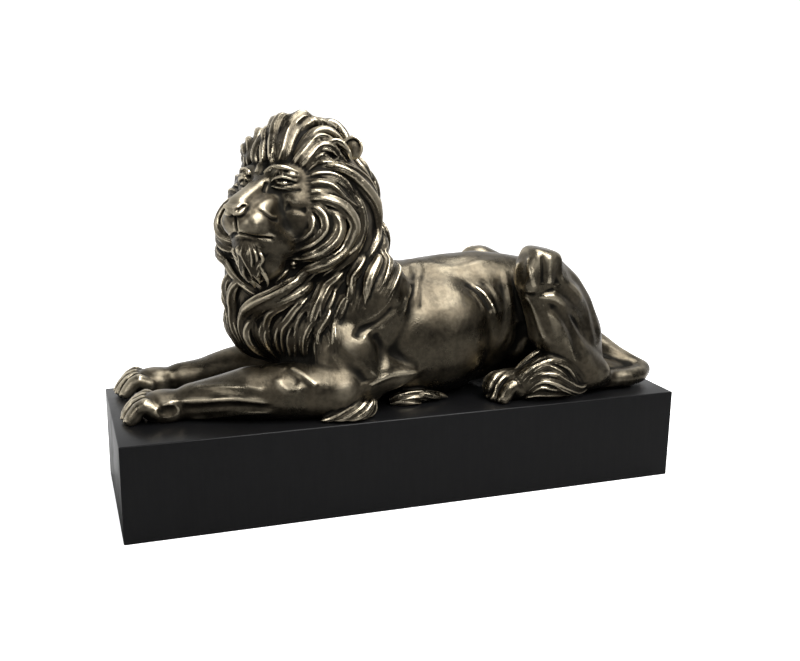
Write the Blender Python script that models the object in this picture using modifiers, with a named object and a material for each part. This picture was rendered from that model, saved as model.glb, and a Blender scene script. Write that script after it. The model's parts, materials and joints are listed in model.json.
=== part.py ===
"""A reclining lion cast in one piece, on a plain rectangular plinth. Metres, +Z up.

The lion faces -X and turns its head to its left (-Y). The origin is the middle of the plinth's underside.
"""

import math

import bmesh
import bpy
from mathutils import Matrix, Vector
from mathutils.bvhtree import BVHTree

# Driving sizes
FIGURE_LENGTH = 0.277  # front toes to the bend of the tail
TOE_MARGIN = 0.002  # bare plinth before the toes
TAIL_MARGIN = 0.001  # and behind the tail
PLINTH_WIDTH = 0.092
PLINTH_HEIGHT = 0.046
PLINTH_EDGE = 0.0006  # rounding of the plinth's edges
SEAT_GAP = 0.0003  # glue line between the casting and the plinth

PLINTH_LENGTH = TOE_MARGIN + FIGURE_LENGTH + TAIL_MARGIN
MODEL_STEPS = 277  # how many of the modelling units below make the figure's length
UNIT = FIGURE_LENGTH / MODEL_STEPS
SEAT = PLINTH_HEIGHT + SEAT_GAP

# How finely the casting is worked
CLAY_GRAIN = 0.0015  # voxel of the smooth under-form
CARVED_GRAIN = 0.0009  # voxel once the locks and features are on
CLAY_ROUNDS = 12  # smoothing rounds of the under-form
CARVED_ROUNDS = 2
CASTING_TRIANGLES = 9700

# The head, which has a frame of its own: forwards, to the lion's left, and up
HEAD_CENTRE = (-51.6, -4.0, 99.0)
HEAD_YAW = math.radians(42)
HEAD_PITCH = math.radians(6.5)
HEAD_ROLL = math.radians(4)

# The mane's locks are laid out by a turn about an upright axis and a level on it. The turn is in
# degrees from -X towards -Y. Above the crown the level counts degrees of rise instead of height.
MANE_AXIS = (-46, -1)
MANE_CROWN = 88
FACE_TURN = 42  # the turn that the face looks along, about which the two cheeks mirror
CHEST_TURN = 14  # the same for the chest
FLANK_AXIS = 34  # level of the line along the trunk that the folds of the flank are laid out from
LOCK_LIFT_RATIO = 0.18  # how far a lock's middle stands off the skin, as a share of its width
FOLD_SUNK_RATIO = 0.22  # how far the middle of a fold of skin lies under it, as a share of its width

# The figure's forms, in its own units: x, y and height over the plinth, and radii
TRUNK_LUMPS = (  # x, height, half length, half width, half height
    (-42, 42, 28, 31, 36),
    (-18, 34, 30, 33.5, 36),
    (6, 31, 42, 34.5, 34),
    (22, 31.5, 34, 33.5, 34),
    (42, 34, 28, 26, 32),
    (62, 35, 28, 25, 31),
    (80, 34, 25, 24, 30),
    (91, 28, 18, 20, 27),
)
SPINE = (
    (-12, 0, 52, 18),
    (4, 0, 49.5, 18),
    (22, 0, 51.5, 18),
    (44, 0, 53, 18),
    (60, 0, 51, 18),
    (78, 0, 47, 18),
)
NEAR_FORE_LEG = (
    (-38, -31, 13, 14),
    (-60, -27, 12.5, 13.5),
    (-77, -22.5, 12, 13),
    (-91, -18, 9.5, 10.5),
    (-104, -15, 8, 8.8),
)
FAR_FORE_LEG = (
    (-38, 31, 13, 14),
    (-60, 31, 11, 12.5),
    (-77, 32.5, 9, 11),
    (-92, 33.5, 6.5, 8.6),
    (-104, 33.5, 6, 7.8),
)
TAIL = (
    (101, -2, 27, 9),
    (112, -7, 20, 7.5),
    (121, -12, 13.5, 6.5),
    (129.5, -17, 8.5, 5.8),
    (134.6, -23, 6.4, 5.4),
    (130, -28, 5.4, 5.1),
    (122, -31, 5, 5),
    (110, -32, 5.5, 4.8),
    (99, -34, 7.5, 5),
)
TAIL_FILLING = ((108, -20, 7, 8), (118, -22, 5, 6.5), (126, -23, 4, 5))  # metal left inside the tail's bend
PAWS = (  # middle, radii, and the turn in degrees
    ((-118, -13, 6), (14, 10.5, 8.5), -8),
    ((-118, 33, 5), (14, 10, 8), 2),
)
FORE_TOES = (  # tip of the paw, half spread, turn in degrees, radius, length
    ((-133.4, -10.8, 4.2), 8.2, -8, 4.2, 8),
    ((-133.2, 33.4, 3.8), 8, 2, 4.1, 8),
)
TOE_SET_BACK = 1.6  # how far the outer toes end behind the middle ones
TOE_LONG_RATIO = 1.25  # length of a toe's lump over its width
TOE_END_RATIO = 0.86  # size of its end over its knuckle
KNUCKLE_RISE_RATIO = 0.55

# The ear, in the head's frame
EAR_MIDDLE = (-6, 28.5, 24.5)
EAR_SPLAY = 28  # degrees that each ear turns outwards
EAR_BACK = (2.4, 5.2, 5.6)  # radii of the thin back
EAR_RIM = (1.4, 5, 5.4)  # how far the rim stands before the back, and its half width and height
EAR_RIM_LUMP = (2.4, 1.7, 1.7)

# The tail's brush over the hind foot, and the fringes on the plinth
BRUSH_LOCKS = 6
BRUSH_TOP = 23.5  # height of the uppermost lock
BRUSH_FALL = 17  # how much lower the last one lies
BRUSH_SIDE = -33.5  # y of the uppermost lock
BRUSH_BULGE = 8.7  # how far the lower ones stand out past it
BRUSH_LOCK_WIDE = 6.4
FRINGE_WIDE = 5
FRINGE_STEP = 6  # from one lock of a fringe to the next


def clear_scene():
    for obj in list(bpy.data.objects):
        bpy.data.objects.remove(obj, do_unlink=True)


def material(name, colour, roughness, metallic):
    made = bpy.data.materials.new(name)
    made.use_nodes = True
    shader = made.node_tree.nodes["Principled BSDF"]
    shader.inputs["Base Color"].default_value = (*colour, 1.0)
    shader.inputs["Roughness"].default_value = roughness
    shader.inputs["Metallic"].default_value = metallic
    return made


def body_place(x, y, z):
    """A point of the figure, its height counted from the level that it lies on."""
    return Vector((x * UNIT, y * UNIT, z * UNIT))


def head_axes():
    """Columns are the head's forward, left and up directions."""
    forward = Vector((
        -math.cos(HEAD_YAW) * math.cos(HEAD_PITCH),
        -math.sin(HEAD_YAW) * math.cos(HEAD_PITCH),
        math.sin(HEAD_PITCH),
    ))
    left = Vector((math.sin(HEAD_YAW), -math.cos(HEAD_YAW), 0))
    up = forward.cross(left)
    tilt = Matrix.Rotation(HEAD_ROLL, 3, forward)
    return Matrix((forward, tilt @ left, tilt @ up)).transposed()


def head_place(forward, left, up):
    return body_place(*(Vector(HEAD_CENTRE) + head_axes() @ Vector((forward, left, up))))


class Clay:
    """Overlapping closed lumps that are fused into one skin."""

    def __init__(self, name):
        self.name = name
        self.mesh = bmesh.new()
        unit_ball = bmesh.new()
        bmesh.ops.create_uvsphere(unit_ball, u_segments=24, v_segments=14, radius=1)
        self.unit_ball = bpy.data.meshes.new("unit_ball")
        unit_ball.to_mesh(self.unit_ball)
        unit_ball.free()

    def ball(self, centre, radii, turn=None):
        """An ellipsoid at a placed point, with radii in figure units along the columns of turn."""
        axes = (turn or Matrix.Identity(3)).to_4x4()
        size = Matrix.Diagonal((*[r * UNIT for r in radii], 1))
        lump = self.unit_ball.copy()
        lump.transform(Matrix.Translation(centre) @ axes @ size)
        self.add(lump)

    def add(self, lump):
        self.mesh.from_mesh(lump)
        bpy.data.meshes.remove(lump)

    def limb(self, stations):
        """A tapering limb through (x, y, z, radius) stations."""
        points = [Vector(s) for s in stations]
        for a, b in zip(points, points[1:]):
            steps = max(2, math.ceil((b - a).to_3d().length / (0.35 * min(a[3], b[3]))))
            for i in range(steps + 1):
                p = a.lerp(b, i / steps)
                self.ball(body_place(*p[:3]), (p[3], p[3], p[3]))

    def fused(self, grain, smoothing):
        data = bpy.data.meshes.new(self.name)
        self.mesh.to_mesh(data)
        self.mesh.free()
        obj = bpy.data.objects.new(self.name, data)
        bpy.context.scene.collection.objects.link(obj)
        remesh = obj.modifiers.new("one_skin", "REMESH")
        remesh.mode = "VOXEL"
        remesh.voxel_size = grain
        smooth = obj.modifiers.new("soften", "SMOOTH")
        smooth.factor = 0.5
        smooth.iterations = smoothing
        return baked(obj)


def baked(obj):
    """The object with its modifiers applied."""
    bpy.context.view_layer.update()
    graph = bpy.context.evaluated_depsgraph_get()
    data = bpy.data.meshes.new_from_object(obj.evaluated_get(graph))
    obj.modifiers.clear()
    obj.data = data
    return obj


def trunk(clay):
    """Ribcage, belly, loins and rump as ellipsoids in a row, with a narrower ridge for the spine."""
    for x, z, length, half_width, half_height in TRUNK_LUMPS:
        clay.ball(body_place(x, 0, z), (length, half_width, half_height))
    clay.limb(SPINE)


def fore_legs(clay):
    for stations, (middle, radii, turn) in zip((NEAR_FORE_LEG, FAR_FORE_LEG), PAWS):
        clay.limb(stations)
        clay.ball(body_place(*middle), radii, Matrix.Rotation(math.radians(turn), 3, "Z"))


def shoulder(clay, side):
    clay.ball(body_place(-20, 22 * side, 46), (22, 14, 29), Matrix.Rotation(math.radians(14), 3, "Y"))
    clay.ball(body_place(-30, 28 * side, 24), (19, 13, 24), Matrix.Rotation(math.radians(-20), 3, "Y"))


def elbow_web(clay, side):
    """The fold of skin from the elbow to the belly."""
    clay.limb(((-24, 29 * side, 20, 13), (-10, 30 * side, 18, 8), (3, 30 * side, 19, 3.5)))


def hind_leg(clay, side, knee, knee_radius):
    """Thigh and shank folded together, with the foot flat on the ground."""
    hip = (86, 19 * side, 40, 17.5)
    hock = (100, 33 * side, 10, 8.5)
    x, y, z = knee
    clay.limb((hip, (79, 0.5 * (y + 19 * side), z - 13, 15), (x, y, z, knee_radius)))
    clay.limb((hip, (91, 22 * side, 28, 16.5), (95, 22 * side, 16, 14)))
    clay.limb(((x, y, z - 6, knee_radius - 1), (72, 34 * side, 36, 11.5), (84, 34 * side, 22, 11), hock))
    clay.limb((hock, (78, 34 * side, 7.5, 8), (58, 32 * side, 7.5, 8.5), (47, 29 * side, 6.5, 8)))


def tail(clay):
    clay.limb(TAIL)
    clay.limb(TAIL_FILLING)


def tail_tuft(clay):
    clay.ball(body_place(76, -36, 11), (23, 8.5, 12), Matrix.Rotation(math.radians(6), 3, "Z"))


def head(clay):
    turn = head_axes()
    for centre, radii in (
        ((-2, 0, 4), (28, 25, 23)),  # skull
        ((10, 0, 9), (16, 17, 12)),  # forehead
        ((22, 0, 4), (9, 9, 8)),  # bridge of the nose
        ((29, 0, 1), (9, 8, 7.5)),
        ((36, 0, -2.5), (9, 7.5, 7)),
        ((33, 4.6, -10), (9.5, 7.4, 7.5)),  # upper lips
        ((33, -4.6, -10), (9.5, 7.4, 7.5)),
        ((25, 0, -8), (16, 12.5, 10)),  # muzzle
        ((29, 0, -21), (11.5, 9, 6.5)),  # chin
        ((25, 2, -29), (11, 11, 9)),  # beard
        ((12, 0, -14), (20, 17.5, 13)),  # jaw
        ((10, 15, -3), (15, 10, 15)),  # cheeks
        ((10, -15, -3), (15, 10, 15)),
    ):
        clay.ball(head_place(*centre), radii, turn)


def mane_mass(clay):
    for centre, radii in (
        ((-45, -1, 92), (35, 33, 36)),
        ((-46, -2, 108), (26.5, 25, 26)),
        ((-55.5, 0, 62), (28.5, 28, 32)),
        ((-62, 0, 42), (21, 21, 21)),
        ((-33, 0, 72), (29, 28, 29)),
    ):
        clay.ball(body_place(*centre), radii)
    clay.ball(head_place(7, -22, -17), (15, 11.5, 19), head_axes())
    clay.ball(head_place(5, 20, -15), (14, 10.5, 18), head_axes())


def under_form():
    clay = Clay("under_form")
    trunk(clay)
    fore_legs(clay)
    for side in (-1, 1):
        shoulder(clay, side)
        elbow_web(clay, side)
    hind_leg(clay, -1, (66, -31, 64), 12.5)
    hind_leg(clay, 1, (61, 30, 57), 12)
    tail(clay)
    tail_tuft(clay)
    head(clay)
    mane_mass(clay)
    return clay.fused(CLAY_GRAIN, CLAY_ROUNDS)


def on_curve(points, share):
    """A point of the smooth curve through the points, at a share of the way along them."""
    last = len(points) - 1
    i = min(int(share * last), last - 1)
    t = share * last - i
    before, start, end, after = (Vector(points[min(max(k, 0), last)]) for k in range(i - 1, i + 3))
    slope = end - before
    square = 2 * before - 5 * start + 4 * end - after
    cube = 3 * (start - end) + after - before
    return start + 0.5 * t * (slope + t * (square + t * cube))


def lock(clay, points, width, root=0.5, tip=0.12):
    """A lock of hair through placed points: widest before its middle, and drawn out to a tip."""
    curve = bpy.data.curves.new("lock", "CURVE")
    curve.dimensions = "3D"
    curve.bevel_depth = 1
    curve.bevel_resolution = 2
    curve.use_fill_caps = True
    spline = curve.splines.new("POLY")
    spline.points.add(len(points) - 1)
    for i, (dot, point) in enumerate(zip(spline.points, points)):
        t = i / (len(points) - 1)
        swell = math.sin(math.pi * t**0.8)
        end = root + (tip - root) * t
        dot.co = (*point, 1)
        dot.radius = 0.5 * width * UNIT * (end + (1 - end) * swell)
    tube = bpy.data.objects.new("lock", curve)
    bpy.context.scene.collection.objects.link(tube)
    bpy.context.view_layer.update()
    mesh = bpy.data.meshes.new_from_object(tube.evaluated_get(bpy.context.evaluated_depsgraph_get()))
    bpy.data.objects.remove(tube)
    clay.add(mesh)


def skin_point(skin, turn, level):
    """Where a line from the mane's axis leaves the under-form, and the skin's direction there."""
    a = math.radians(turn)
    rise = math.radians(max(0, level - MANE_CROWN))
    way = Vector((-math.cos(a) * math.cos(rise), -math.sin(a) * math.cos(rise), math.sin(rise)))
    start = body_place(*MANE_AXIS, min(level, MANE_CROWN))
    point, normal, _, _ = skin.ray_cast(start, way)
    return point, normal


def flank_fold(clay, skin, x, lean, top, bottom, side, width):
    """A shallow fold of skin that runs down the flank; top and bottom are degrees above the level."""
    points = []
    for i in range(13):
        t = i / 12
        rise = math.radians(top + (bottom - top) * t)
        way = Vector((0, side * math.cos(rise), math.sin(rise)))
        point, normal, _, _ = skin.ray_cast(body_place(x + lean * t * t, 0, FLANK_AXIS), way)
        points.append(point - FOLD_SUNK_RATIO * width * UNIT * normal)
    lock(clay, points, width, 0.3, 0.3)


def flank_folds(clay, skin):
    for side in (-1, 1):
        for x, lean in ((2, -5), (9, -6), (16, -4)):
            flank_fold(clay, skin, x, lean, 66, 22, side, 6.4)
        for x, lean in ((45, 12), (51, 12)):
            flank_fold(clay, skin, x, lean, 36, 8, side, 5.6)


def skin_lock(clay, skin, path, width):
    """A lock lying on the skin along a path of (turn, level) steps."""
    count = 4 * len(path)
    points = []
    for i in range(count + 1):
        point, normal = skin_point(skin, *on_curve(path, i / count))
        points.append(point + LOCK_LIFT_RATIO * width * UNIT * normal)
    lock(clay, points, width)


def head_lock(clay, path, width):
    """A lock that stands free of the skin, along a path of points in the head's frame."""
    count = 4 * len(path)
    lock(clay, [head_place(*on_curve(path, i / count)) for i in range(count + 1)], width)


# Locks that stand up over the forehead: width, then their path in the head's frame
CREST_LOCKS = (
    (4.8, ((15, -7, 20), (13.5, -9.5, 26), (12, -11.5, 31))),
    (5.8, ((16, -3, 20), (14, -6, 28), (10.5, -7.3, 33), (8.6, -6.8, 34.6))),
    (6.8, ((15, 2, 19), (13, -1.4, 30.5), (9, -0.8, 37), (5, 1, 39.2))),
    (7.2, ((15, 5, 20), (10, 3.6, 32.5), (6, 5, 38), (2, 7, 40.4), (-2, 10, 38.4))),
    (6.6, ((14, 8, 20), (7, 7.2, 31.6), (2, 8.8, 36.2), (-2, 10.8, 38), (-5, 12.6, 36.2))),
    (6.2, ((9, 8, 28), (0, 9, 36), (-6, 12.5, 37.5), (-13, 17, 35))),
    (6.2, ((13, 13, 22), (6, 15.5, 31), (0, 19.5, 33), (-5, 23.5, 29), (-8, 25, 22))),
    (5.6, ((13, 14, 20), (9, 18, 27.5), (3, 22, 28), (-3, 25, 23))),
    (6.0, ((12, 16, 18), (9, 20, 24), (4, 24, 23.5), (-1, 26.5, 18), (-4, 28, 14))),
    (5.0, ((10, 17, 16), (8, 21, 20), (5, 23.5, 18), (1, 25.5, 13))),
    (6.4, ((-8, 5, 36), (-14, 12, 36), (-17, 17.5, 31), (-19, 21, 24))),
)

# Locks of the near cheek and temple: width, then (turn, level) from root to tip
CHEEK_LOCKS = (
    (6.6, ((76, 139), (105, 140), (132, 134), (153, 120), (166, 104), (173, 86))),
    (7.0, ((82, 136), (109, 137), (126, 129), (139, 116), (150, 103), (156, 88), (144, 79), (131, 72))),
    (
        6.8,
        ((113, 127), (125, 116), (130, 104), (132, 90), (127, 80), (115, 75), (102, 70), (95, 64), (88, 57)),
    ),
    (5.4, ((86, 130), (105, 131), (117, 126), (124, 116))),
    (6.0, ((89, 124), (102, 122), (113, 113), (128, 104))),
    (
        7.6,
        (
            (83, 115),
            (98, 112),
            (110, 105),
            (117, 92),
            (110, 82),
            (99, 77),
            (85, 73),
            (71, 67),
            (55, 61),
            (42, 57),
        ),
    ),
    (5.4, ((79, 105), (84, 99), (83, 90), (77, 86), (69, 84))),
    (6.6, ((84, 109), (93, 102), (93, 90), (85, 84), (75, 81), (65, 79))),
    (7.0, ((91, 110), (103, 100), (102, 88), (91, 81), (77, 77), (62, 76))),
    (6.0, ((70, 74), (60, 73), (52, 69), (45, 63))),
)

# Locks of the chest and shoulder, laid out the same way
CHEST_LOCKS = (
    (7.2, ((88, 71), (71, 66), (52, 60), (36, 55), (23, 49), (18, 40), (20, 27))),
    (7.0, ((92, 68), (77, 61), (57, 56), (40, 52), (29, 45), (30, 30))),
    (6.0, ((72, 58), (56, 54), (44, 50), (38, 42), (42, 29))),
    (6.0, ((84, 59), (69, 53), (60, 46), (54, 39), (52, 27))),
    (6.6, ((91, 61), (80, 54), (71, 47), (68, 39), (66, 26))),
    (6.6, ((98, 68), (93, 60), (86, 53), (82, 46), (80, 36))),
    (6.6, ((117, 69), (107, 65), (97, 59), (91, 53), (92, 43))),
    (6.0, ((121, 68), (112, 62), (104, 56), (98, 50), (99, 40))),
    (6.0, ((119, 60), (112, 56), (107, 50), (102, 44), (100, 35))),
    (6.4, ((135, 77), (126, 70), (119, 64), (115, 55))),
    (7.0, ((146, 76), (132, 69), (125, 62), (121, 53))),
    (7.0, ((172, 85), (160, 77), (142, 70), (131, 60))),
    (6.6, ((10, 68), (-1, 60), (-4, 50), (2, 38))),
    (6.0, ((24, 66), (14, 58), (8, 47), (9, 32))),
)

# Hair below the chin, in the head's frame
BEARD_LOCKS = (
    (6.0, ((33, -4, -23), (35, -4, -30), (34, -3, -37))),
    (6.4, ((32, 2, -23), (35, 2, -30), (36, 0, -38))),
    (6.0, ((29, 8, -23), (30, 9, -30), (28, 7, -36))),
)

# Rows of wavy locks down the far side and back of the neck: level of the roots, fall, width, number
NAPE_ROWS = ((152, 46, 6.6, 7), (124, 42, 6.8, 8), (98, 26, 7.0, 8))
NAPE_TURNS = (172, 312)  # where the rows start and end
NAPE_WAVES = (-6, 7)  # how far the locks swing, by turns


def mane(clay, skin):
    for width, path in CREST_LOCKS:
        head_lock(clay, path, width)
        if path[0][1] > 6:
            head_lock(clay, [(f, -l, u) for f, l, u in path], width)
    for width, path in BEARD_LOCKS:
        head_lock(clay, path, width)
    for middle, locks in ((FACE_TURN, CHEEK_LOCKS), (CHEST_TURN, CHEST_LOCKS)):
        for width, path in locks:
            skin_lock(clay, skin, path, width)
            if path[0][0] > middle + 20:
                skin_lock(clay, skin, [(2 * middle - turn, level) for turn, level in path], width)
    nape(clay, skin)


def nape(clay, skin):
    """Locks that hang down the far side and back of the neck, in overlapping rows."""
    start, end = NAPE_TURNS
    for row, (level, fall, width, count) in enumerate(NAPE_ROWS):
        for i in range(count):
            turn = start + (end - start) * (i + 0.5 * (row % 2)) / count
            wave = NAPE_WAVES[i % 2]
            path = [(turn + wave * math.sin(3.6 * t), level - fall * t) for t in (0, 0.3, 0.6, 1)]
            skin_lock(clay, skin, path, width)


def ear(clay, side):
    """A cupped rim open to the front, with a thin back."""
    splay = Matrix.Rotation(math.radians(EAR_SPLAY * side), 3, "Z")
    turn = head_axes() @ splay
    forward, out, up = EAR_MIDDLE
    middle = Vector((forward, out * side, up))
    clay.ball(head_place(*middle), EAR_BACK, turn)
    before, half_width, half_height = EAR_RIM
    for degrees in range(-50, 231, 20):
        a = math.radians(degrees)
        rim = splay @ Vector((before, half_width * math.cos(a) * side, half_height * math.sin(a)))
        clay.ball(head_place(*(middle + rim)), EAR_RIM_LUMP, turn)


def face(clay):
    turn = head_axes()
    clay.ball(head_place(43.5, 0, -2.4), (6, 7.2, 3.6), turn)  # nose pad
    clay.ball(head_place(40, 0, -8), (4, 4, 6), turn)  # below the nose
    for side in (-1, 1):
        clay.ball(head_place(43, 4.8 * side, -3), (3.8, 3, 3), turn)  # nostril wing
        clay.ball(head_place(36.5, 5.4 * side, -10.5), (6, 6, 5.4), turn)  # whisker pad
        clay.ball(head_place(22.5, 11.5 * side, 8.6), (4.2, 4.2, 3.6), turn)  # eyeball
        brow = ((28.5, 5, 9), (27, 6.5, 14), (23.5, 12, 16.4), (18.5, 17.5, 13.6), (16, 20, 9))
        lid = ((26.6, 7.2, 9.2), (26, 11, 11.6), (22, 15.6, 10.2), (18, 18, 7.6))
        bag = ((27, 7.6, 7.6), (26, 11.4, 4.6), (21, 16.4, 5), (17.6, 18.6, 7))
        cheek = ((13, 20.5, 6), (18, 20.5, 1), (25, 15.5, -2.5), (31, 10.5, -4.5))
        for path, width in ((brow, 5.2), (lid, 3.2), (bag, 3), (cheek, 5.5)):
            place = [(f, l * side, u) for f, l, u in path]
            count = 4 * len(place)
            lock(clay, [head_place(*on_curve(place, i / count)) for i in range(count + 1)], width, 0.7, 0.7)
        ear(clay, side)


def toes(clay, tip, spread, turn, radius, length):
    """Four toes side by side, each a knuckled lump with a stubby claw end."""
    direction = Matrix.Rotation(math.radians(turn), 3, "Z")
    along = direction @ Vector((-1, 0, 0))
    across = direction @ Vector((0, 1, 0))
    rise = Vector((0, 0, KNUCKLE_RISE_RATIO * radius))
    for offset in (-1, -1 / 3, 1 / 3, 1):
        end = Vector(tip) + across * spread * offset - along * (TOE_SET_BACK * offset * offset)
        knuckle = end - along * length + rise
        for place, size in ((end, TOE_END_RATIO * radius), (knuckle, radius)):
            clay.ball(body_place(*place), (size * TOE_LONG_RATIO, size, size), direction)


def feet(clay):
    for paw in FORE_TOES:
        toes(clay, *paw)
    for side in (-1, 1):
        toes(clay, (44, 29 * side, 4.6), 6.4, -6 * side, 3.9, 6.5)


def body_lock(clay, path, width, steps):
    """A lock that lies free on the body or the plinth, along a path of figure points."""
    lock(clay, [body_place(*on_curve(path, k / steps)) for k in range(steps + 1)], width)


def brush(clay):
    """The tail's tuft: wavy locks over the top of the hind foot."""
    for i in range(BRUSH_LOCKS):
        t = i / (BRUSH_LOCKS - 1)
        rise = BRUSH_TOP - BRUSH_FALL * t
        out = BRUSH_SIDE - BRUSH_BULGE * math.sin(0.5 * math.pi * min(1, 1.3 * t))
        path = (
            (102, -35, 9 - 3 * t),
            (90, out + 3, rise),
            (78, out, rise + 1.5),
            (66, out + 0.5, rise - 4),
            (55 - 3 * (i % 2), out + 3, max(3, rise - 11)),
        )
        body_lock(clay, path, BRUSH_LOCK_WIDE, 16)


def fringes(clay):
    """The short hair that lies on the plinth below the belly, and behind the near elbow."""
    for i in range(5):
        x = -12 + FRINGE_STEP * i
        end = -27 + 0.1 * FRINGE_STEP * i
        body_lock(clay, ((x - 4, -24, 6), (x + 3, -27, 3.6), (x + 10, end, 1.4)), FRINGE_WIDE, 8)
    for i in range(4):
        x = -49 + FRINGE_STEP * i
        body_lock(clay, ((x - 3, -39, 6), (x + 3, -41.5, 3.8), (x + 9, -40.5, 1.6)), FRINGE_WIDE, 8)


def carved_form():
    """The under-form with its locks, face, toes and tufts."""
    base = under_form()
    skin = BVHTree.FromPolygons([v.co for v in base.data.vertices], [p.vertices for p in base.data.polygons])
    clay = Clay("lion")
    clay.mesh.from_mesh(base.data)
    flank_folds(clay, skin)
    mane(clay, skin)
    face(clay)
    feet(clay)
    brush(clay)
    fringes(clay)
    bpy.data.objects.remove(base)
    return clay.fused(CARVED_GRAIN, CARVED_ROUNDS)


def cut_flat_below(obj, level):
    """Takes off all below a level, and closes the cut."""
    mesh = bmesh.new()
    mesh.from_mesh(obj.data)
    cut = bmesh.ops.bisect_plane(
        mesh,
        geom=mesh.verts[:] + mesh.edges[:] + mesh.faces[:],
        plane_co=(0, 0, level),
        plane_no=(0, 0, 1),
        clear_inner=True,
    )
    rim = [e for e in cut["geom_cut"] if isinstance(e, bmesh.types.BMEdge)]
    bmesh.ops.triangle_fill(mesh, edges=rim, use_beauty=True)
    bmesh.ops.recalc_face_normals(mesh, faces=mesh.faces[:])
    mesh.to_mesh(obj.data)
    mesh.free()


def lion(finish):
    form = carved_form()
    thin = form.modifiers.new("thin", "DECIMATE")
    thin.ratio = CASTING_TRIANGLES / (2 * len(form.data.polygons))
    thin.use_collapse_triangulate = True
    baked(form)
    cut_flat_below(form, 0)
    form.data.transform(Matrix.Translation((0, 0, SEAT)))
    form.data.materials.clear()
    form.data.materials.append(finish)
    return form


def plinth(finish):
    bpy.ops.mesh.primitive_cube_add(size=1, location=(0, 0, PLINTH_HEIGHT / 2))
    block = bpy.context.object
    block.name = "plinth"
    block.scale = (PLINTH_LENGTH, PLINTH_WIDTH, PLINTH_HEIGHT)
    bpy.ops.object.transform_apply(location=False, rotation=False, scale=True)
    rounding = block.modifiers.new("edge", "BEVEL")
    rounding.width = PLINTH_EDGE
    rounding.segments = 2
    block.data.materials.append(finish)
    return block


def main():
    clear_scene()
    statue = bpy.data.collections.new("lion_statue")
    bpy.context.scene.collection.children.link(statue)
    pieces = (
        lion(material("bronze", (0.16, 0.125, 0.085), 0.38, 1.0)),
        plinth(material("black_lacquer", (0.012, 0.012, 0.013), 0.4, 0.0)),
    )
    for piece in pieces:
        for collection in list(piece.users_collection):
            collection.objects.unlink(piece)
        statue.objects.link(piece)


main()
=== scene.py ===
# A reclining lion with a dark bronze patina on a black plinth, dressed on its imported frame.
import json
import math
import random

import bmesh
import bpy
import numpy as np
from mathutils import Matrix, Vector
from mathutils.bvhtree import BVHTree
from mathutils.kdtree import KDTree

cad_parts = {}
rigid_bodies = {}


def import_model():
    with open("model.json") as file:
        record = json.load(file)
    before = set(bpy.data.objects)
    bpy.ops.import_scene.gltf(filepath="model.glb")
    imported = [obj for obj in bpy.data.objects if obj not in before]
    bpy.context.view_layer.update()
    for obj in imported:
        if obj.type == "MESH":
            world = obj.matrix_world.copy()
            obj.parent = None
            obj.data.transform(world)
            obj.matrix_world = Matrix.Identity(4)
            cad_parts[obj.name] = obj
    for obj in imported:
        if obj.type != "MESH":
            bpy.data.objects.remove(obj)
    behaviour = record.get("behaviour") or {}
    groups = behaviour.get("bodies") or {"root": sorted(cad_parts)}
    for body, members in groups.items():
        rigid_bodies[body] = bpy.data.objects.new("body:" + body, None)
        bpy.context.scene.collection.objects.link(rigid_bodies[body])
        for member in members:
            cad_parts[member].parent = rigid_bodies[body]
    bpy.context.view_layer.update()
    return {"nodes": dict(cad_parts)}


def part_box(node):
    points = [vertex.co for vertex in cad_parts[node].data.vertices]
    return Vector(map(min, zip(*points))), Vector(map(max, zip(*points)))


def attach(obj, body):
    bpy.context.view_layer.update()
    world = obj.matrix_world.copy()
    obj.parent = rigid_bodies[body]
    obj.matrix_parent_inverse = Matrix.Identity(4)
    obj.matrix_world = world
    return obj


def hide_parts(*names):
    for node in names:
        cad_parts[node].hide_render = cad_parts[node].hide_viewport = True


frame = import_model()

print("frame loaded")

plinthLength = 280  # in the units of the figures below, which are millimetres of the part as packed
plinthLow, plinthHigh = (Vector(corner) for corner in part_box("plinth"))
mm = (plinthHigh.x - plinthLow.x) / plinthLength
seat = Vector(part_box("lion")[0]).z  # the level that the lion stands on

cameraSetup = {
    "place": (-161.38, -467.26, 197.51),  # from the middle of the underside
    "yaw": 19.554,  # from +Y towards +X, in degrees
    "pitch": 13.604,  # downwards
    "roll": 0.734,
    "lens": 44.706,
}

headSetup = {
    "centre": (-51.6, -4.0, 99.0),
    "yaw": 42,  # from -X towards -Y
    "pitch": 6.5,
    "roll": 4,
}

clayGrain = {
    "under": 1.3,  # voxel of the smooth body
    "carved": 0.52,  # voxel with the locks and features on
    "triangles": 196000,
    "underRounds": 14,  # how often the smooth body is smoothed
}


def bodyPlace(x, y, z):
    return Vector((x * mm, y * mm, seat + z * mm))


def headAxes():
    yaw, pitch, roll = (math.radians(headSetup[k]) for k in ("yaw", "pitch", "roll"))
    forward = Vector((-math.cos(yaw) * math.cos(pitch), -math.sin(yaw) * math.cos(pitch), math.sin(pitch)))
    left = Vector((math.sin(yaw), -math.cos(yaw), 0))
    up = forward.cross(left)
    tilt = Matrix.Rotation(roll, 3, forward)
    return Matrix((forward, tilt @ left, tilt @ up)).transposed()


headTurn = headAxes()


def headPlace(forward, left, up):
    return bodyPlace(*(Vector(headSetup["centre"]) + headTurn @ Vector((forward, left, up))))


def onlySelected(obj):
    for other in bpy.context.view_layer.objects:
        other.select_set(False)
    obj.select_set(True)
    bpy.context.view_layer.objects.active = obj


def applyModifiers(obj):
    onlySelected(obj)
    for modifier in list(obj.modifiers):
        bpy.ops.object.modifier_apply(modifier=modifier.name)


def finishPiece(obj, slot, material, *nodes):
    # place in the mesh, object at the origin, riding on the frame
    onlySelected(obj)
    bpy.ops.object.transform_apply(location=True, rotation=True, scale=True)
    obj.data.materials.clear()
    obj.data.materials.append(material)
    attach(obj, "root")
    if nodes:
        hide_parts(*nodes)


# Clay: one bmesh of overlapping closed lumps, fused by a voxel remesh

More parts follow.
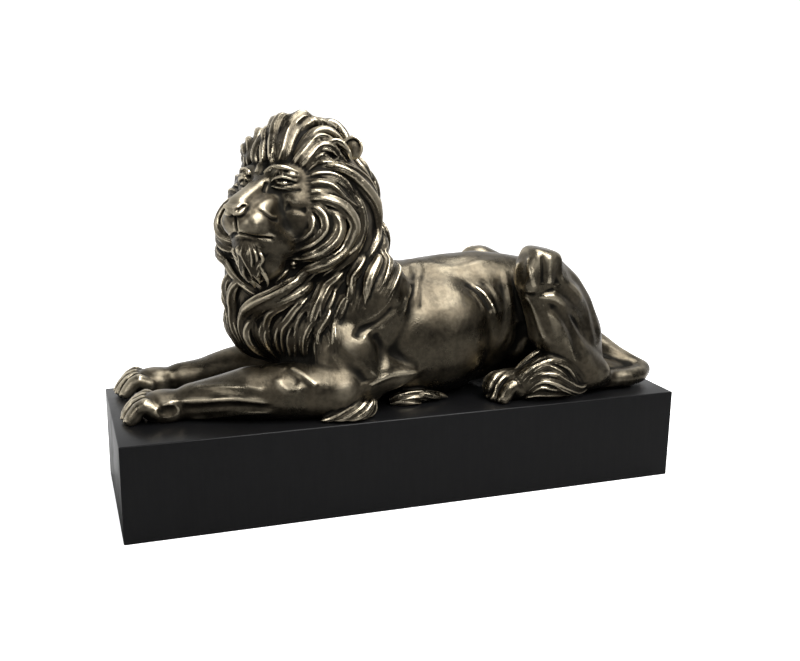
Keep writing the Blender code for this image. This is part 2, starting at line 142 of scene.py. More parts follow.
onlySelected(frame["nodes"]["lion"])
frame["nodes"]["lion"].select_set(False)
bpy.ops.mesh.primitive_uv_sphere_add(segments=32, ring_count=18, radius=1)
unitBall = bpy.context.object.data
bpy.data.objects.remove(bpy.context.object)
unitBlock = unitBall.copy()
for corner in unitBlock.vertices:
    corner.co /= sum(abs(c) ** 5 for c in corner.co) ** 0.2  # a ball swollen towards a box


def addBall(clay, centre, radii, turn=None, shape=unitBall):
    size = Matrix.Diagonal((*[r * mm for r in radii], 1))
    lump = shape.copy()
    lump.transform(Matrix.Translation(centre) @ (turn or Matrix.Identity(3)).to_4x4() @ size)
    clay.from_mesh(lump)
    bpy.data.meshes.remove(lump)


def addLimb(clay, stations):
    points = [Vector(s) for s in stations]
    for a, b in zip(points, points[1:]):
        steps = max(2, math.ceil((b - a).to_3d().length / (0.22 * min(a[3], b[3]))))
        for i in range(steps + 1):
            p = a.lerp(b, i / steps)
            addBall(clay, bodyPlace(*p[:3]), (p[3], p[3], p[3]))


def fuse(clay, name, grain, rounds):
    data = bpy.data.meshes.new(name)
    clay.to_mesh(data)
    clay.free()
    obj = bpy.data.objects.new(name, data)
    bpy.context.scene.collection.objects.link(obj)
    remesh = obj.modifiers.new("oneSkin", "REMESH")
    remesh.mode = "VOXEL"
    remesh.voxel_size = grain * mm
    smooth = obj.modifiers.new("soften", "SMOOTH")
    smooth.factor = 0.5
    smooth.iterations = rounds
    applyModifiers(obj)
    return obj


def onCurve(points, share):
    last = len(points) - 1
    i = min(int(share * last), last - 1)
    t = share * last - i
    before, start, end, after = (Vector(points[min(max(k, 0), last)]) for k in range(i - 1, i + 3))
    bend = 2 * before - 5 * start + 4 * end - after
    twist = 3 * (start - end) + after - before
    return start + 0.5 * t * (end - before + t * (bend + t * twist))


# Locks of hair: a sunk core with finer strands over it, all as splines of one curve

lockLook = {
    "strandWidth": 1.9,  # about how far apart the ridges of a lock lie
    "uneven": 0.35,  # how much the ridges differ in thickness
    "core": 0.41,  # radius of the core, as a share of the lock's width
    "coreLift": -0.12,  # how high its middle lies over the skin
    "ridge": 0.36,  # radius of a ridge, as a share of its room
    "ridgeLift": 0.12,  # how far its middle stands off the core, in millimetres
    "heights": 0.30,  # how unevenly high the locks lie, as a share of their width
    "waver": 0.5,
    "stagger": 0.2,  # how much sooner some ridges end
    "rootSink": 0.5,  # how deep the roots start, as a share of the width
    "rootShare": 0.2,  # share of its length over which a root rises from the skin
    "spread": 0.86,  # how far out the outer ridges lie, from the middle to the edge
    "longestStep": 4.5,  # past which the skin has fallen away between two points of a lock
}
chance = random.Random(11)
flow = []  # (point, direction across the lock, shift) along every lock, for the hair grain


def newTubes(name, roundness):
    curve = bpy.data.curves.new(name, "CURVE")
    curve.dimensions = "3D"
    curve.bevel_depth = 1
    curve.bevel_resolution = roundness
    curve.use_fill_caps = True
    return curve


def addTube(curve, points, radii):
    spline = curve.splines.new("POLY")
    spline.points.add(len(points) - 1)
    for dot, point, radius in zip(spline.points, points, radii):
        dot.co = (*point, 1)
        dot.radius = radius


def meshOf(curve):
    obj = bpy.data.objects.new(curve.name, curve)
    bpy.context.scene.collection.objects.link(obj)
    bpy.context.view_layer.update()
    mesh = bpy.data.meshes.new_from_object(obj.evaluated_get(bpy.context.evaluated_depsgraph_get()))
    bpy.data.objects.remove(obj)
    return mesh


hair = newTubes("hair", 2)


def lockProfile(t, root, tip):
    swell = math.sin(math.pi * t**0.8)
    end = root + (tip - root) * t
    return end + (1 - end) * swell


def addLock(points, normals, width, root=0.35, tip=0.1, strands=None):
    # a rounded ribbon with thin raised ridges along it
    last = len(points) - 1
    strands = strands or max(2, round(width / lockLook["strandWidth"]))
    profile = [lockProfile(i / last, root, tip) for i in range(last + 1)]
    raised = chance.uniform(-0.4, 1) * lockLook["heights"]
    lifts = []
    for i in range(last + 1):
        bury = lockLook["rootSink"] * max(0, 1 - i / last / lockLook["rootShare"]) ** 2
        lifts.append((lockLook["coreLift"] + raised * min(1, 3 * (1 - i / last)) - bury) * width)
    core = [p + n * (lift * mm) for p, n, lift in zip(points, normals, lifts)]
    shift = chance.uniform(0, 2)
    for i in range(last):
        along = (points[i + 1] - points[i]).normalized()
        flow.append((core[i], along.cross(normals[i]), shift))
    addTube(hair, core, [lockLook["core"] * width * mm * q for q in profile])
    for s in range(strands):
        o = (s - (strands - 1) / 2) / max(1, (strands - 1) / 2) if strands > 1 else 0
        o = lockLook["spread"] * (o + chance.uniform(-0.1, 0.1))
        stop = 1 - lockLook["stagger"] * chance.random() * abs(o) - 0.03 * chance.random()
        phase = chance.uniform(0, 6.28)
        thick = lockLook["ridge"] * (1 + lockLook["uneven"] * chance.uniform(-1, 1))
        line, radii = [], []
        for i in range(last + 1):
            t = i / last * stop
            k = min(int(t * last), last - 1)
            f = t * last - k
            n = normals[k].lerp(normals[k + 1], f).normalized()
            across = (points[k + 1] - points[k]).normalized().cross(n)
            q = lockProfile(t, root, tip)
            half = lockLook["core"] * width * q
            sway = o + lockLook["waver"] * math.sin(phase + 5 * t) / width
            rise = half * math.sqrt(max(0.04, 1 - sway * sway)) + lockLook["ridgeLift"] * q
            line.append(core[k].lerp(core[k + 1], f) + across * (sway * half * mm) + n * (rise * mm))
            thin = 1 if i < last - 2 else (last - i + 0.3) / 3
            radii.append(thick * width / strands * (0.45 + 0.55 * q) * mm * thin)
        addTube(hair, line, radii)


def skinRay(turn, level):
    a = math.radians(turn)
    rise = math.radians(max(0, level - maneSetup["crown"]))
    way = Vector((-math.cos(a) * math.cos(rise), -math.sin(a) * math.cos(rise), math.sin(rise)))
    point, normal, _, _ = skin.ray_cast(bodyPlace(*maneSetup["axis"], min(level, maneSetup["crown"])), way)
    return point, normal


def addSkinLock(path, width, strands=None, sunk=0.0, start=0.0):
    # a lock laid on the smooth body along a path of (turn, level)
    count = 5 * len(path)
    hits = [skinRay(*onCurve(path, start + (1 - start) * i / count)) for i in range(count + 1)]
    for i in range(1, len(hits)):
        if (hits[i][0] - hits[i - 1][0]).length > lockLook["longestStep"] * mm:
            hits = hits[:i]  # a lock ends where the skin falls away under it
            break
    last = len(hits) - 1
    if last < 5:
        return
    normals = [n for _, n in hits]
    soft = []
    for i in range(last + 1):
        nearby = (normals[max(0, min(last, i + k))] for k in (-2, -1, 0, 1, 2))
        soft.append(sum(nearby, Vector()).normalized())
    addLock([p - n * (sunk * width * mm) for p, n in hits], soft, width, strands=strands)


def addHeadLock(path, width):
    # a lock over the forehead, which may stand off the skin but never dips below it
    count = 5 * len(path)
    clear = crestLook["clear"] * width * mm
    points = []
    for i in range(count + 1):
        place = headPlace(*onCurve(path, i / count))
        near, normal, _, _ = skin.find_nearest(place)
        if (place - near).dot(normal) < clear:
            place = near + normal * clear
        points.append(place)
    middle = headPlace(*crestLook["middle"])
    ways = [(p - middle).normalized() for p in points]
    ends, strands = crestLook["ends"], round(width / crestLook["strandWidth"])
    addLock(points, ways, width, root=ends, tip=ends, strands=strands)


# The smooth body under the hair

trunkLumps = (  # x, z, half length, half width, half height
    (-42, 42, 28, 31, 36),
    (-18, 34, 30, 33.5, 36),
    (6, 31, 42, 34.5, 34),
    (22, 31.5, 34, 33.5, 34),
    (42, 34, 28, 26, 32),
    (62, 35, 28, 25, 31),
    (80, 34, 25, 24, 30),
    (91, 28, 18, 20, 27),
)
# spine, legs and tail: stations of x, y, z and radius
spine = (
    (-12, 0, 52, 18),
    (4, 0, 49.5, 18),
    (22, 0, 51.5, 18),
    (44, 0, 53, 18),
    (60, 0, 51, 18),
    (78, 0, 47, 18),
)
nearForeLeg = (
    (-38, -31, 13, 14),
    (-60, -27, 12.5, 13.5),
    (-77, -22.5, 12, 13),
    (-91, -18, 9.5, 10.5),
    (-104, -15, 8, 8.8),
)
farForeLeg = (
    (-38, 31, 13, 14),
    (-60, 31, 11, 12.5),
    (-77, 32.5, 9, 11),
    (-92, 33.5, 6.5, 8.6),
    (-104, 33.5, 6, 7.8),
)
tailLine = (
    (101, -2, 27, 9),
    (112, -7, 20, 7.5),
    (121, -12, 13.5, 6.5),
    (129.5, -17, 8.5, 5.8),
    (134.6, -23, 6.4, 5.4),
    (130, -28, 5.4, 5.1),
    (122, -31, 5, 5),
    (110, -32, 5.5, 4.8),
    (99, -34, 7.5, 5),
)
tuftBed = ((108, -20, 7, 8), (118, -22, 5, 6.5), (126, -23, 4, 5))  # fills the bend of the tail
headLumps = (  # centre in the head's frame, radii, and how far each tips forwards
    ((-2, 0, 4), (28, 25, 23), 0),  # skull
    ((11, 0, 8.5), (14.5, 17, 11.5), 0),  # forehead
    ((17.5, 0, 8.5), (9, 12, 8.5), 0),
    ((17, 9.5, 11.4), (9, 8.4, 5.6), 10),  # brows
    ((17, -9.5, 11.4), (9, 8.4, 5.6), 10),
    ((35.6, 5.0, -10.2), (8.8, 6.8, 7), 0),  # whisker pads
    ((35.6, -5.0, -10.2), (8.8, 6.8, 7), 0),
    ((39, 0, -10), (5.8, 6, 7), 0),
    ((27, 0, -9), (16.5, 12, 9), 0),  # muzzle
    ((30.5, 0, -21.5), (11, 9.6, 6.2), 0),  # chin
    ((20, 8.4, -19), (14, 7.6, 7.6), 0),
    ((20, -8.4, -19), (14, 7.6, 7.6), 0),
    ((29.5, 9, -14.6), (8, 4.4, 4.6), 0),  # corners of the mouth
    ((29.5, -9, -14.6), (8, 4.4, 4.6), 0),
    ((26, 1, -28), (10.5, 10, 8.5), 0),  # beard
    ((12, 0, -14), (20, 16.5, 13), 0),  # jaw
    ((10, 13.5, -3), (14, 8.6, 14), 0),  # cheeks
    ((10, -13.5, -3), (14, 8.6, 14), 0),
)
headBlocks = (  # the same with flatter sides, and how far each turns to the lion's left
    ((27, 3.4, -4.8), (13, 6.6, 7.6), 20, 10),  # sides of the muzzle
    ((27, -3.4, -4.8), (13, 6.6, 7.6), 20, -10),
    ((35.4, 0, 0.8), (11.6, 4.7, 4.4), 26, 0),  # bridge of the nose
    ((25.6, 0, 6.2), (8.5, 4.6, 4.6), 34, 0),
    ((14.6, 10.6, 1.4), (8.6, 6.4, 6.6), 0, 38),  # cheekbones
    ((14.6, -10.6, 1.4), (8.6, 6.4, 6.6), 0, -38),
)
maneLumps = (  # centre and radii
    ((-45, -1, 92), (35, 33, 36)),
    ((-46, -2, 108), (26.5, 25, 26)),
    ((-55.5, 0, 62), (28.5, 28, 32)),
    ((-62, 0, 42), (21, 21, 21)),
    ((-33, 0, 72), (29, 28, 29)),
)


def spin(degrees, axis="Z"):
    return Matrix.Rotation(math.radians(degrees), 3, axis)


def addHindLeg(clay, side, knee, kneeRadius):
    hip = (86, 19 * side, 40, 17.5)
    hock = (100, 33 * side, 10, 8.5)
    x, y, z = knee
    addLimb(clay, (hip, (79, 0.5 * (y + 19 * side), z - 13, 15), (x, y, z, kneeRadius)))
    addLimb(clay, (hip, (91, 22 * side, 28, 16.5), (95, 22 * side, 16, 14)))
    addLimb(clay, ((x, y, z - 6, kneeRadius - 1), (72, 34 * side, 36, 11.5), (84, 34 * side, 22, 11), hock))
    addLimb(clay, (hock, (78, 34 * side, 7.5, 8), (58, 32 * side, 7.5, 8.5), (47, 29 * side, 6.5, 8)))


def makeBody():
    clay = bmesh.new()
    for x, z, length, width, height in trunkLumps:
        addBall(clay, bodyPlace(x, 0, z), (length, width, height))
    for limb in (spine, nearForeLeg, farForeLeg, tailLine, tuftBed):
        addLimb(clay, limb)
    addBall(clay, bodyPlace(-116, -13, 6), (13, 10, 8.2), spin(-8))  # the front paws
    addBall(clay, bodyPlace(-116, 33, 5), (13, 9.4, 7.8), spin(2))
    for side in (-1, 1):  # shoulders, upper legs and elbows
        addBall(clay, bodyPlace(-20, 22 * side, 46), (22, 14, 29), spin(14, "Y"))
        addBall(clay, bodyPlace(-30, 28 * side, 24), (19, 13, 24), spin(-20, "Y"))
        addLimb(clay, ((-24, 29 * side, 20, 13), (-10, 30 * side, 18, 8), (3, 30 * side, 19, 3.5)))
    addHindLeg(clay, -1, (66, -31, 64), 12.5)
    addHindLeg(clay, 1, (61, 30, 57), 12)
    addBall(clay, bodyPlace(76, -36, 11), (23, 8.5, 12), spin(6))  # under the tail's tuft
    for centre, radii, tip in headLumps:
        addBall(clay, headPlace(*centre), radii, headTurn @ spin(tip, "Y"))
    for centre, radii, tip, out in headBlocks:
        addBall(clay, headPlace(*centre), radii, headTurn @ spin(out) @ spin(tip, "Y"), unitBlock)
    addBall(clay, bodyPlace(64.5, -33.4, 65), (9.4, 9.6, 12), spin(12, "Y"), unitBlock)  # near kneecap
    for centre, radii in maneLumps:
        addBall(clay, bodyPlace(*centre), radii)
    addBall(clay, headPlace(7, -22, -17), (15, 11.5, 19), headTurn)  # under the whiskers of the cheeks
    addBall(clay, headPlace(5, 20, -15), (14, 10.5, 18), headTurn)
    return fuse(clay, "smoothBody", clayGrain["under"], clayGrain["underRounds"])


def skinOf(obj):
    return BVHTree.FromPolygons([v.co for v in obj.data.vertices], [p.vertices for p in obj.data.polygons])


body = makeBody()
skin = skinOf(body)
print("smooth body done")

# The mane

maneSetup = {
    "axis": (-46, -1),
    "crown": 88,
    "faceTurn": 42,  # the turn that the face looks along, about which the two cheeks mirror
    "chestTurn": 14,
    "napeTurns": (172, 312),
    "napeRows": (  # level, fall, width and how many
        (174, 34, 6.0, 9),
        (160, 40, 6.6, 12),
        (146, 36, 6.6, 13),
        (132, 36, 6.8, 14),
        (112, 34, 7.0, 14),
        (92, 26, 6.8, 14),
    ),
    "napeWaves": (7, -6),  # how far each lock of a row swings, by turns
    "mirrorFrom": 20,  # locks that start this far off the middle are on both sides
    "start": 0.04,  # where along its path a lock starts
    "lowerWidth": 0.5,  # a thinner lock runs beside and below each, by this share of its width
    "lowerSunk": 0.14,
    "lowerStart": 0.25,
    "aside": (2.5, 4.5),
    "below": (-4.5, -2.5),
}

crestLook = {
    "clear": 0.12,  # least height over the skin, as a share of the width
    "middle": (-4, 0, 4),  # that the locks stand away from, in the head's frame
    "ends": 0.3,  # thickness of root and tip, as a share of the full one
    "strandWidth": 1.3,
    "lowRoot": 22,  # roots up to this level run on down the forehead to the brow
    "onward": (5.6, 0.92, 3.6),  # by so much forward and down, and this share of the way out
    "bothFrom": 5.5,  # locks that start this far to one side are on both sides
}

# Locks that stand up over the forehead: width, then their path in the head's frame
crestLocks = (
    (4.6, ((15, -7, 20), (13.5, -9.5, 26), (12, -11.3, 30.5))),
    (5.4, ((16, -3, 20), (14, -6, 28), (10.5, -7.3, 33), (8.6, -6.8, 34.4))),
    (6.2, ((15, 2, 19), (13, -1.4, 30.5), (9.4, -1, 36.6), (6.4, 0.6, 39), (4.2, 2.2, 38.2))),
    (6.8, ((15, 5, 20), (10, 3.6, 32.5), (6, 5, 37.8), (2, 7, 40.4), (-1, 9.4, 39.2), (-2, 10.6, 37.8))),
    (
        6.4,
        ((14, 8, 20), (7, 7.2, 31.6), (2, 8.8, 36.2), (-2, 10.8, 38), (-4.4, 12.6, 36.6), (-5.2, 13, 35.4)),
    ),
    (4.2, ((16, 0.5, 19.5), (14, -3, 28), (12, -4.6, 33.4), (9.6, -4.4, 36))),
    (4.4, ((15.6, 3.5, 20), (12, 0.8, 31), (8.4, 1.6, 37.2), (5.4, 4, 38.4), (4, 5.4, 36.6))),
    (4.6, ((14, 6.6, 21), (9, 5.4, 32), (4.4, 7, 37.2), (0.4, 9, 38.6), (-1.6, 10.6, 36.4))),
    (6.0, ((9, 8, 28), (0, 9, 36), (-6, 12.5, 37.5), (-13, 17, 35))),
    (6.2, ((13, 13, 22), (6, 15.5, 31), (0, 19.5, 33), (-5, 23.5, 29), (-8, 25, 22))),
    (5.2, ((13, 14, 20), (9, 18, 27.5), (3, 22, 28), (-3, 25, 23))),
    (5.8, ((12, 16, 18), (9, 20, 24), (4, 24, 23.5), (-1, 26.5, 18), (-4, 28, 14))),
    (4.8, ((10, 17, 16), (8, 21, 20), (5, 23.5, 18), (1, 25.5, 13))),
    (6.4, ((-8, 5, 36), (-14, 12, 36), (-17, 17.5, 31), (-19, 21, 24))),
    (4.2, ((12, 17.5, 21), (6, 21.5, 25.5), (1, 25.6, 27), (-2.4, 29, 23.6), (-3.4, 31, 18.6))),
    (3.8, ((11, 18.5, 18), (6, 22, 21.6), (2, 25.6, 22), (-0.6, 28.4, 17.6))),
)

# Locks of the near cheek and temple: width, then (turn, level) from root to tip
cheekLocks = (
    (6.6, ((76, 139), (105, 140), (132, 134), (153, 120), (166, 104), (173, 86))),
    (7.0, ((82, 136), (109, 137), (126, 129), (139, 116), (150, 103), (156, 88), (144, 79), (131, 72))),
    (
        6.8,
        ((113, 127), (125, 116), (130, 104), (132, 90), (127, 80), (115, 75), (102, 70), (95, 64), (88, 57)),
    ),
    (5.4, ((77, 131), (92, 133), (107, 131), (119, 125), (125, 115))),
    (6.0, ((78, 125), (90, 125.6), (103, 122), (114, 112), (128, 104))),
    (4.4, ((79, 120), (90, 119.6), (101, 115), (108, 106))),
    (
        7.6,
        (
            (77, 114), (86, 114.6), (98, 112), (110, 105), (117, 92), (110, 82), (99, 77), (85, 73),
            (71, 67), (55, 61), (42, 57),
        ),
    ),
    (5.4, ((79, 105), (84, 99), (83, 90), (77, 86), (69, 84))),
    (6.6, ((80, 110), (87, 108), (93, 101), (93, 90), (85, 84), (75, 81), (65, 79))),
    (7.0, ((91, 110), (103, 100), (102, 88), (91, 81), (77, 77), (62, 76))),
    (6.0, ((70, 74), (60, 73), (52, 69), (45, 63))),
)

# Locks of the chest and shoulder, laid out the same way
chestLocks = (
    (7.2, ((88, 71), (71, 66), (52, 60), (36, 55), (23, 49), (18, 40), (20, 27))),
    (7.0, ((92, 68), (77, 61), (57, 56), (40, 52), (29, 45), (30, 30))),
    (6.0, ((72, 58), (56, 54), (44, 50), (38, 42), (42, 29))),
    (6.0, ((84, 59), (69, 53), (60, 46), (54, 39), (52, 27))),
    (6.6, ((91, 61), (80, 54), (71, 47), (68, 39), (66, 26))),
    (6.6, ((98, 68), (93, 60), (86, 53), (82, 46), (80, 36))),
    (6.6, ((117, 69), (107, 65), (97, 59), (91, 53), (92, 43))),
    (6.0, ((121, 68), (112, 62), (104, 56), (98, 50), (99, 40))),
    (6.0, ((119, 60), (112, 56), (107, 50), (102, 44), (100, 35))),
    (6.4, ((135, 77), (126, 70), (119, 64), (115, 55))),
    (7.0, ((146, 76), (132, 69), (125, 62), (121, 53))),
    (7.0, ((172, 85), (160, 77), (142, 70), (131, 60))),
    (6.6, ((10, 68), (-1, 60), (-4, 50), (2, 38))),
    (6.0, ((24, 66), (14, 58), (8, 47), (9, 32))),
    (5.2, ((30, 48), (24, 41), (24, 33), (28, 24))),
    (5.6, ((47, 52), (37, 45), (34, 37), (37, 26))),
    (5.2, ((62, 50), (51, 44), (46, 36), (49, 24))),
    (5.0, ((76, 51), (66, 45), (60, 37), (60, 26))),
    (5.0, ((90, 50), (80, 44), (75, 37), (75, 27))),
    (4.8, ((104, 53), (96, 47), (89, 41), (88, 32))),
    (5.0, ((4, 48), (-2, 41), (-1, 33), (4, 25))),
)

# Hair below the chin, in the head's frame
beardLook = {
    "top": -18.4,  # where the hair below the lip starts
    "fall": 16.5,
    "width": 2.5,
    "rows": ((0, 2.0, 7.0), (4.0, 2.3, 6.4), (8.5, 2.4, 4.8)),  # start below the top, step, half breadth
    "narrows": 0.22,  # how far its sides draw in towards the tip
    "hang": 0.7,  # how far a hair may fall back from one of its points to the next
    "steps": 12,
    "middle": (18, 0, -25),  # that the hairs stand away from
    "sag": 0.05,  # how a row drops towards its sides
    "ragged": 2.5,  # how unevenly its hairs start
    "lengths": (0.5, 1.05),
    "bends": (0.7, 1.5),
}


def mirrored(path, middle):
    return [(2 * middle - turn, level) for turn, level in path]


def shifted(path, turn, level):
    return [(t + turn * (0.4 + 0.6 * i / len(path)), z + level) for i, (t, z) in enumerate(path)]


def addBeard():
    ahead = headTurn @ Vector((1, 0, 0))
    middle = headPlace(*beardLook["middle"])
    for lower, step, half in beardLook["rows"]:
        for k in range(round(2 * half / step) + 1):
            l = k * step - half
            top = beardLook["top"] - lower - beardLook["sag"] * l * l
            top -= chance.uniform(0, beardLook["ragged"])
            fall = (beardLook["fall"] - 0.5 * lower) * chance.uniform(*beardLook["lengths"])
            bend = chance.uniform(*beardLook["bends"]) * chance.choice((-1, 1))
            points, f = [], 0
            for i in range(beardLook["steps"] + 1):
                t = i / beardLook["steps"]
                side = l * (1 - beardLook["narrows"] * t) + bend * math.sin(6.5 * t)
                u = top - fall * t
                hit = skin.ray_cast(headPlace(60, side, u), -ahead)[0]
                if hit is None:
                    break
                f = max((hit - headPlace(0, 0, 0)).dot(ahead) / mm, f - beardLook["hang"])
                points.append(headPlace(f, side, u))
            if len(points) > 6:
                ways = [(p - middle).normalized() for p in points]
                addLock(points, ways, beardLook["width"], root=0.3, strands=2)


def addMane():
    for width, path in crestLocks:
        f, l, u = path[0]
        if u <= crestLook["lowRoot"]:
            forward, share, down = crestLook["onward"]
            path = ((f + forward, share * l, u - down), *path)
        addHeadLock(path, width)
        if path[0][1] > crestLook["bothFrom"]:
            addHeadLock([(f, -l, u) for f, l, u in path], width)
    addBeard()
    for middle, locks in ((maneSetup["faceTurn"], cheekLocks), (maneSetup["chestTurn"], chestLocks)):
        for width, path in locks:
            twins = [path]
            if path[0][0] > middle + maneSetup["mirrorFrom"]:
                twins.append(mirrored(path, middle))
            for twin in twins:
                addSkinLock(twin, width, start=maneSetup["start"])
                aside = chance.uniform(*maneSetup["aside"]) * chance.choice((-1, 1))
                low = shifted(twin, aside, chance.uniform(*maneSetup["below"]))
                thinner = width * maneSetup["lowerWidth"]
                addSkinLock(low, thinner, 2, maneSetup["lowerSunk"], maneSetup["lowerStart"])
    addNape()


def addNape():
    start, end = maneSetup["napeTurns"]
    for row, (level, fall, width, count) in enumerate(maneSetup["napeRows"]):
        for i in range(count):
            turn = start + (end - start) * (i + 0.5 * (row % 2)) / count
            wave = maneSetup["napeWaves"][1 - i % 2] * chance.uniform(0.7, 1.2)
            drop = fall * chance.uniform(0.85, 1.15)
            path = [(turn + wave * math.sin(3.6 * t), level - drop * t) for t in (0, 0.3, 0.6, 1)]
            addSkinLock(path, width)


addMane()
print("mane done")

# Tail tuft, belly and elbow hair: width, then (x, y, z) paths on the near side

bodyHair = {  # middle that the hair grows away from, and how much its widths are swollen
    "tuft": ((76, -30, 6), 1.1),
    "belly": ((5, 18, 0), 1.0),
    "elbow": ((-34, 34, 2), 1.25),
    "strands": 3,
}
tuftStrands = (
    (
        3.4,
        (
            (89, -42, 11), (81, -43.7, 19), (72, -41.5, 22.6), (65.5, -38.5, 21.3), (59, -38.5, 18),
            (53.5, -36.4, 14),
        ),
    ),
    (
        3.2,
        (
            (86, -42.4, 9), (79, -43.3, 17), (71, -41.8, 20.6), (63.4, -40.8, 19), (57.5, -40.3, 16),
            (54, -38.8, 12),
        ),
    ),
    (3.4, ((82.4, -43, 7.6), (75, -43.9, 14.7), (68, -42.4, 18), (61.6, -42.1, 16.4), (56, -41.3, 12))),
    (
        3.6,
        (
            (97, -38, 8.4), (87.6, -41.1, 5.5), (78, -43.6, 10.4), (72, -44, 14), (65, -43.4, 14.6),
            (59, -42.6, 12),
        ),
    ),
    (3.6, ((95, -38, 4), (86, -40.5, 3), (78, -43.5, 6.5), (71, -44.3, 10), (64, -43.8, 11), (59, -42, 7))),
    (3.2, ((80, -42, 4), (70, -44, 7), (64, -43.6, 8), (60, -41.4, 4.5))),
    (3.4, ((100, -38, 6), (93, -37, 2.4), (84, -38.5, 1.6), (71, -42.4, 3.4), (63, -42, 3.6), (57, -40, 2))),
    (
        3.2,
        ((92, -34, 13), (84, -35.5, 20), (75, -35.5, 24), (66, -34.5, 23), (58, -34, 18), (52, -33, 14)),
    ),
    (3.2, ((94, -30, 12), (85, -30, 18), (74, -30, 21.5), (64, -30, 20), (55, -30, 15))),
)
bellyStrands = (
    (4.4, ((-10, -24, 2), (-4, -25, 4.6), (5, -25.5, 5.4), (14, -25, 3.8), (21, -24, 1))),
    (3.8, ((-9, -26, 1), (-1, -27, 3.2), (7, -27, 3), (13, -26, 0.8))),
    (3.8, ((0, -25, 4), (8, -26.5, 4.2), (14, -26.5, 2.8), (18, -25.5, 0.8))),
    (3.4, ((-9, -24, 0.4), (-4, -26.5, 1.4), (2, -27.5, 1.2), (7, -27.5, 0.2))),
    (3.4, ((7, -23, 5), (13, -24, 4), (19, -24, 2.2), (23, -23.5, 0.6))),
)
elbowStrands = (
    (3.0, ((-27, -40, 11), (-33, -42.6, 7), (-39, -43, 4), (-45, -42, 1.6), (-49, -40, 0.8))),
    (2.8, ((-25, -41, 9), (-31, -43.6, 5.6), (-37, -44, 2.6), (-43, -43.6, 0.8))),
    (2.8, ((-22, -40, 9), (-27, -43, 5), (-32, -44.4, 2.4), (-37, -44.6, 0.8))),
    (2.6, ((-22, -38, 6), (-25, -41.5, 3.6), (-29, -43.6, 1.4), (-33, -44, 0.6))),
    (2.6, ((-33, -40, 11), (-39, -41.6, 7.6), (-44, -41, 4.4), (-48, -39.4, 1.6))),
    (2.6, ((-21, -34, 8), (-22, -38, 4.4), (-24, -40, 1.6), (-28, -41.6, 0.6))),
)


def addBodyLock(path, width, middle):
    count = 6 * len(path)
    points = [bodyPlace(*onCurve(path, i / count)) for i in range(count + 1)]
    ways = [(p - bodyPlace(*middle)).normalized() for p in points]
    addLock(points, ways, width, strands=bodyHair["strands"])


def addBodyHair():
    middle, swell = bodyHair["tuft"]
    for width, path in tuftStrands:
        addBodyLock(path, swell * width, middle)
    for side in (-1, 1):
        for name, locks in (("belly", bellyStrands), ("elbow", elbowStrands)):
            (mx, my, mz), swell = bodyHair[name]
            for width, path in locks:
                addBodyLock([(x, -y * side, z) for x, y, z in path], swell * width, (mx, my * side, mz))


addBodyHair()
print("tufts done")

# Face, ears and paws, as lumps and rolls on the body

features = newTubes("features", 3)


def addRoll(points, radii):
    addTube(features, points, [radius * mm for radius in radii])


def addFaceRoll(path, radius, end):
    count = 6 * len(path)
    for side in (-1, 1):
        twin = [(f, l * side, u) for f, l, u in path]
        points = [headPlace(*onCurve(twin, i / count)) for i in range(count + 1)]
        thick = radius * (1 if side > 0 else faceLook["farRolls"])
        addRoll(points, [thick * (end + (1 - end) * math.sin(math.pi * i / count)) for i in range(count + 1)])


faceLook = {  # places in the head's frame on the lion's left, radii, and how far each tips or turns
    "nosePad": ((43.4, 0, -3.6), (5.0, 4.9, 2.7), 20),
    "eyeball": ((22.3, 10.2, 7.7), (3.6, 3.8, 3.1)),
    "hood": ((20.2, 12.6, 11.2), (4.4, 4.2, 2.9), 20),
    "farEye": 0.7,  # how much deeper and smaller the far eye is, which lies on the outline
    "farRolls": 0.54,  # how thick the lids and brow are there
    "ear": ((-6.4, 29.2, 24.6), (2.4, 4.7, 5.2), 28),
    "earBack": 0.8,
    "rim": (4.4, 5.0, 0.4),  # of the ear: half breadth, half height, radius
    "rimLean": (1.4, 3),  # how far it stands before the ear, and how far its foot falls back
}
faceRolls = (  # path in the head's frame on the lion's left, radius, and how thick the ends stay
    (  # brow
        (
            (29, 4.3, 11), (28, 5.6, 13.4), (27, 7, 14.4), (25.6, 9.6, 14.7), (23.4, 13, 14.2),
            (20.2, 15.8, 12.2), (17.6, 16.8, 9.4),
        ),
        1.1,
        0.5,
    ),
    (  # upper lid
        (
            (27, 6.8, 8.3), (26.2, 8.8, 9.6), (25.2, 10.6, 10.1), (23.6, 13, 9.6), (21, 15.4, 8.6),
            (18.4, 16.6, 7.8),
        ),
        0.95,
        0.4,
    ),
    (  # lower lid
        ((26.6, 6.6, 6.5), (25.4, 9.2, 5.6), (23.6, 12, 5.7), (20.8, 14.6, 6.4), (18.4, 16.4, 7.4)),
        0.8,
        0.4,
    ),
    (((24.4, 9, 3.4), (21.6, 13, 3.0), (19, 16, 3.8)), 0.9, 0.3),  # bag below the eye
    (((45.2, 4.2, -1.8), (43.8, 5.6, -2.2), (43.2, 5.8, -3.6)), 0.55, 0.4),  # nostril wing
)


def addEye(clay, side):
    less = faceLook["farEye"] * (side < 0)
    (f, l, u), (long, wide, tall) = faceLook["eyeball"]
    addBall(clay, headPlace(f - less, l * side, u), (long - less, wide, tall), headTurn)
    (f, l, u), radii, turn = faceLook["hood"]
    centre = headPlace(f - less, (l - less) * side, u)
    addBall(clay, centre, [r - less for r in radii], headTurn @ spin(turn * side))


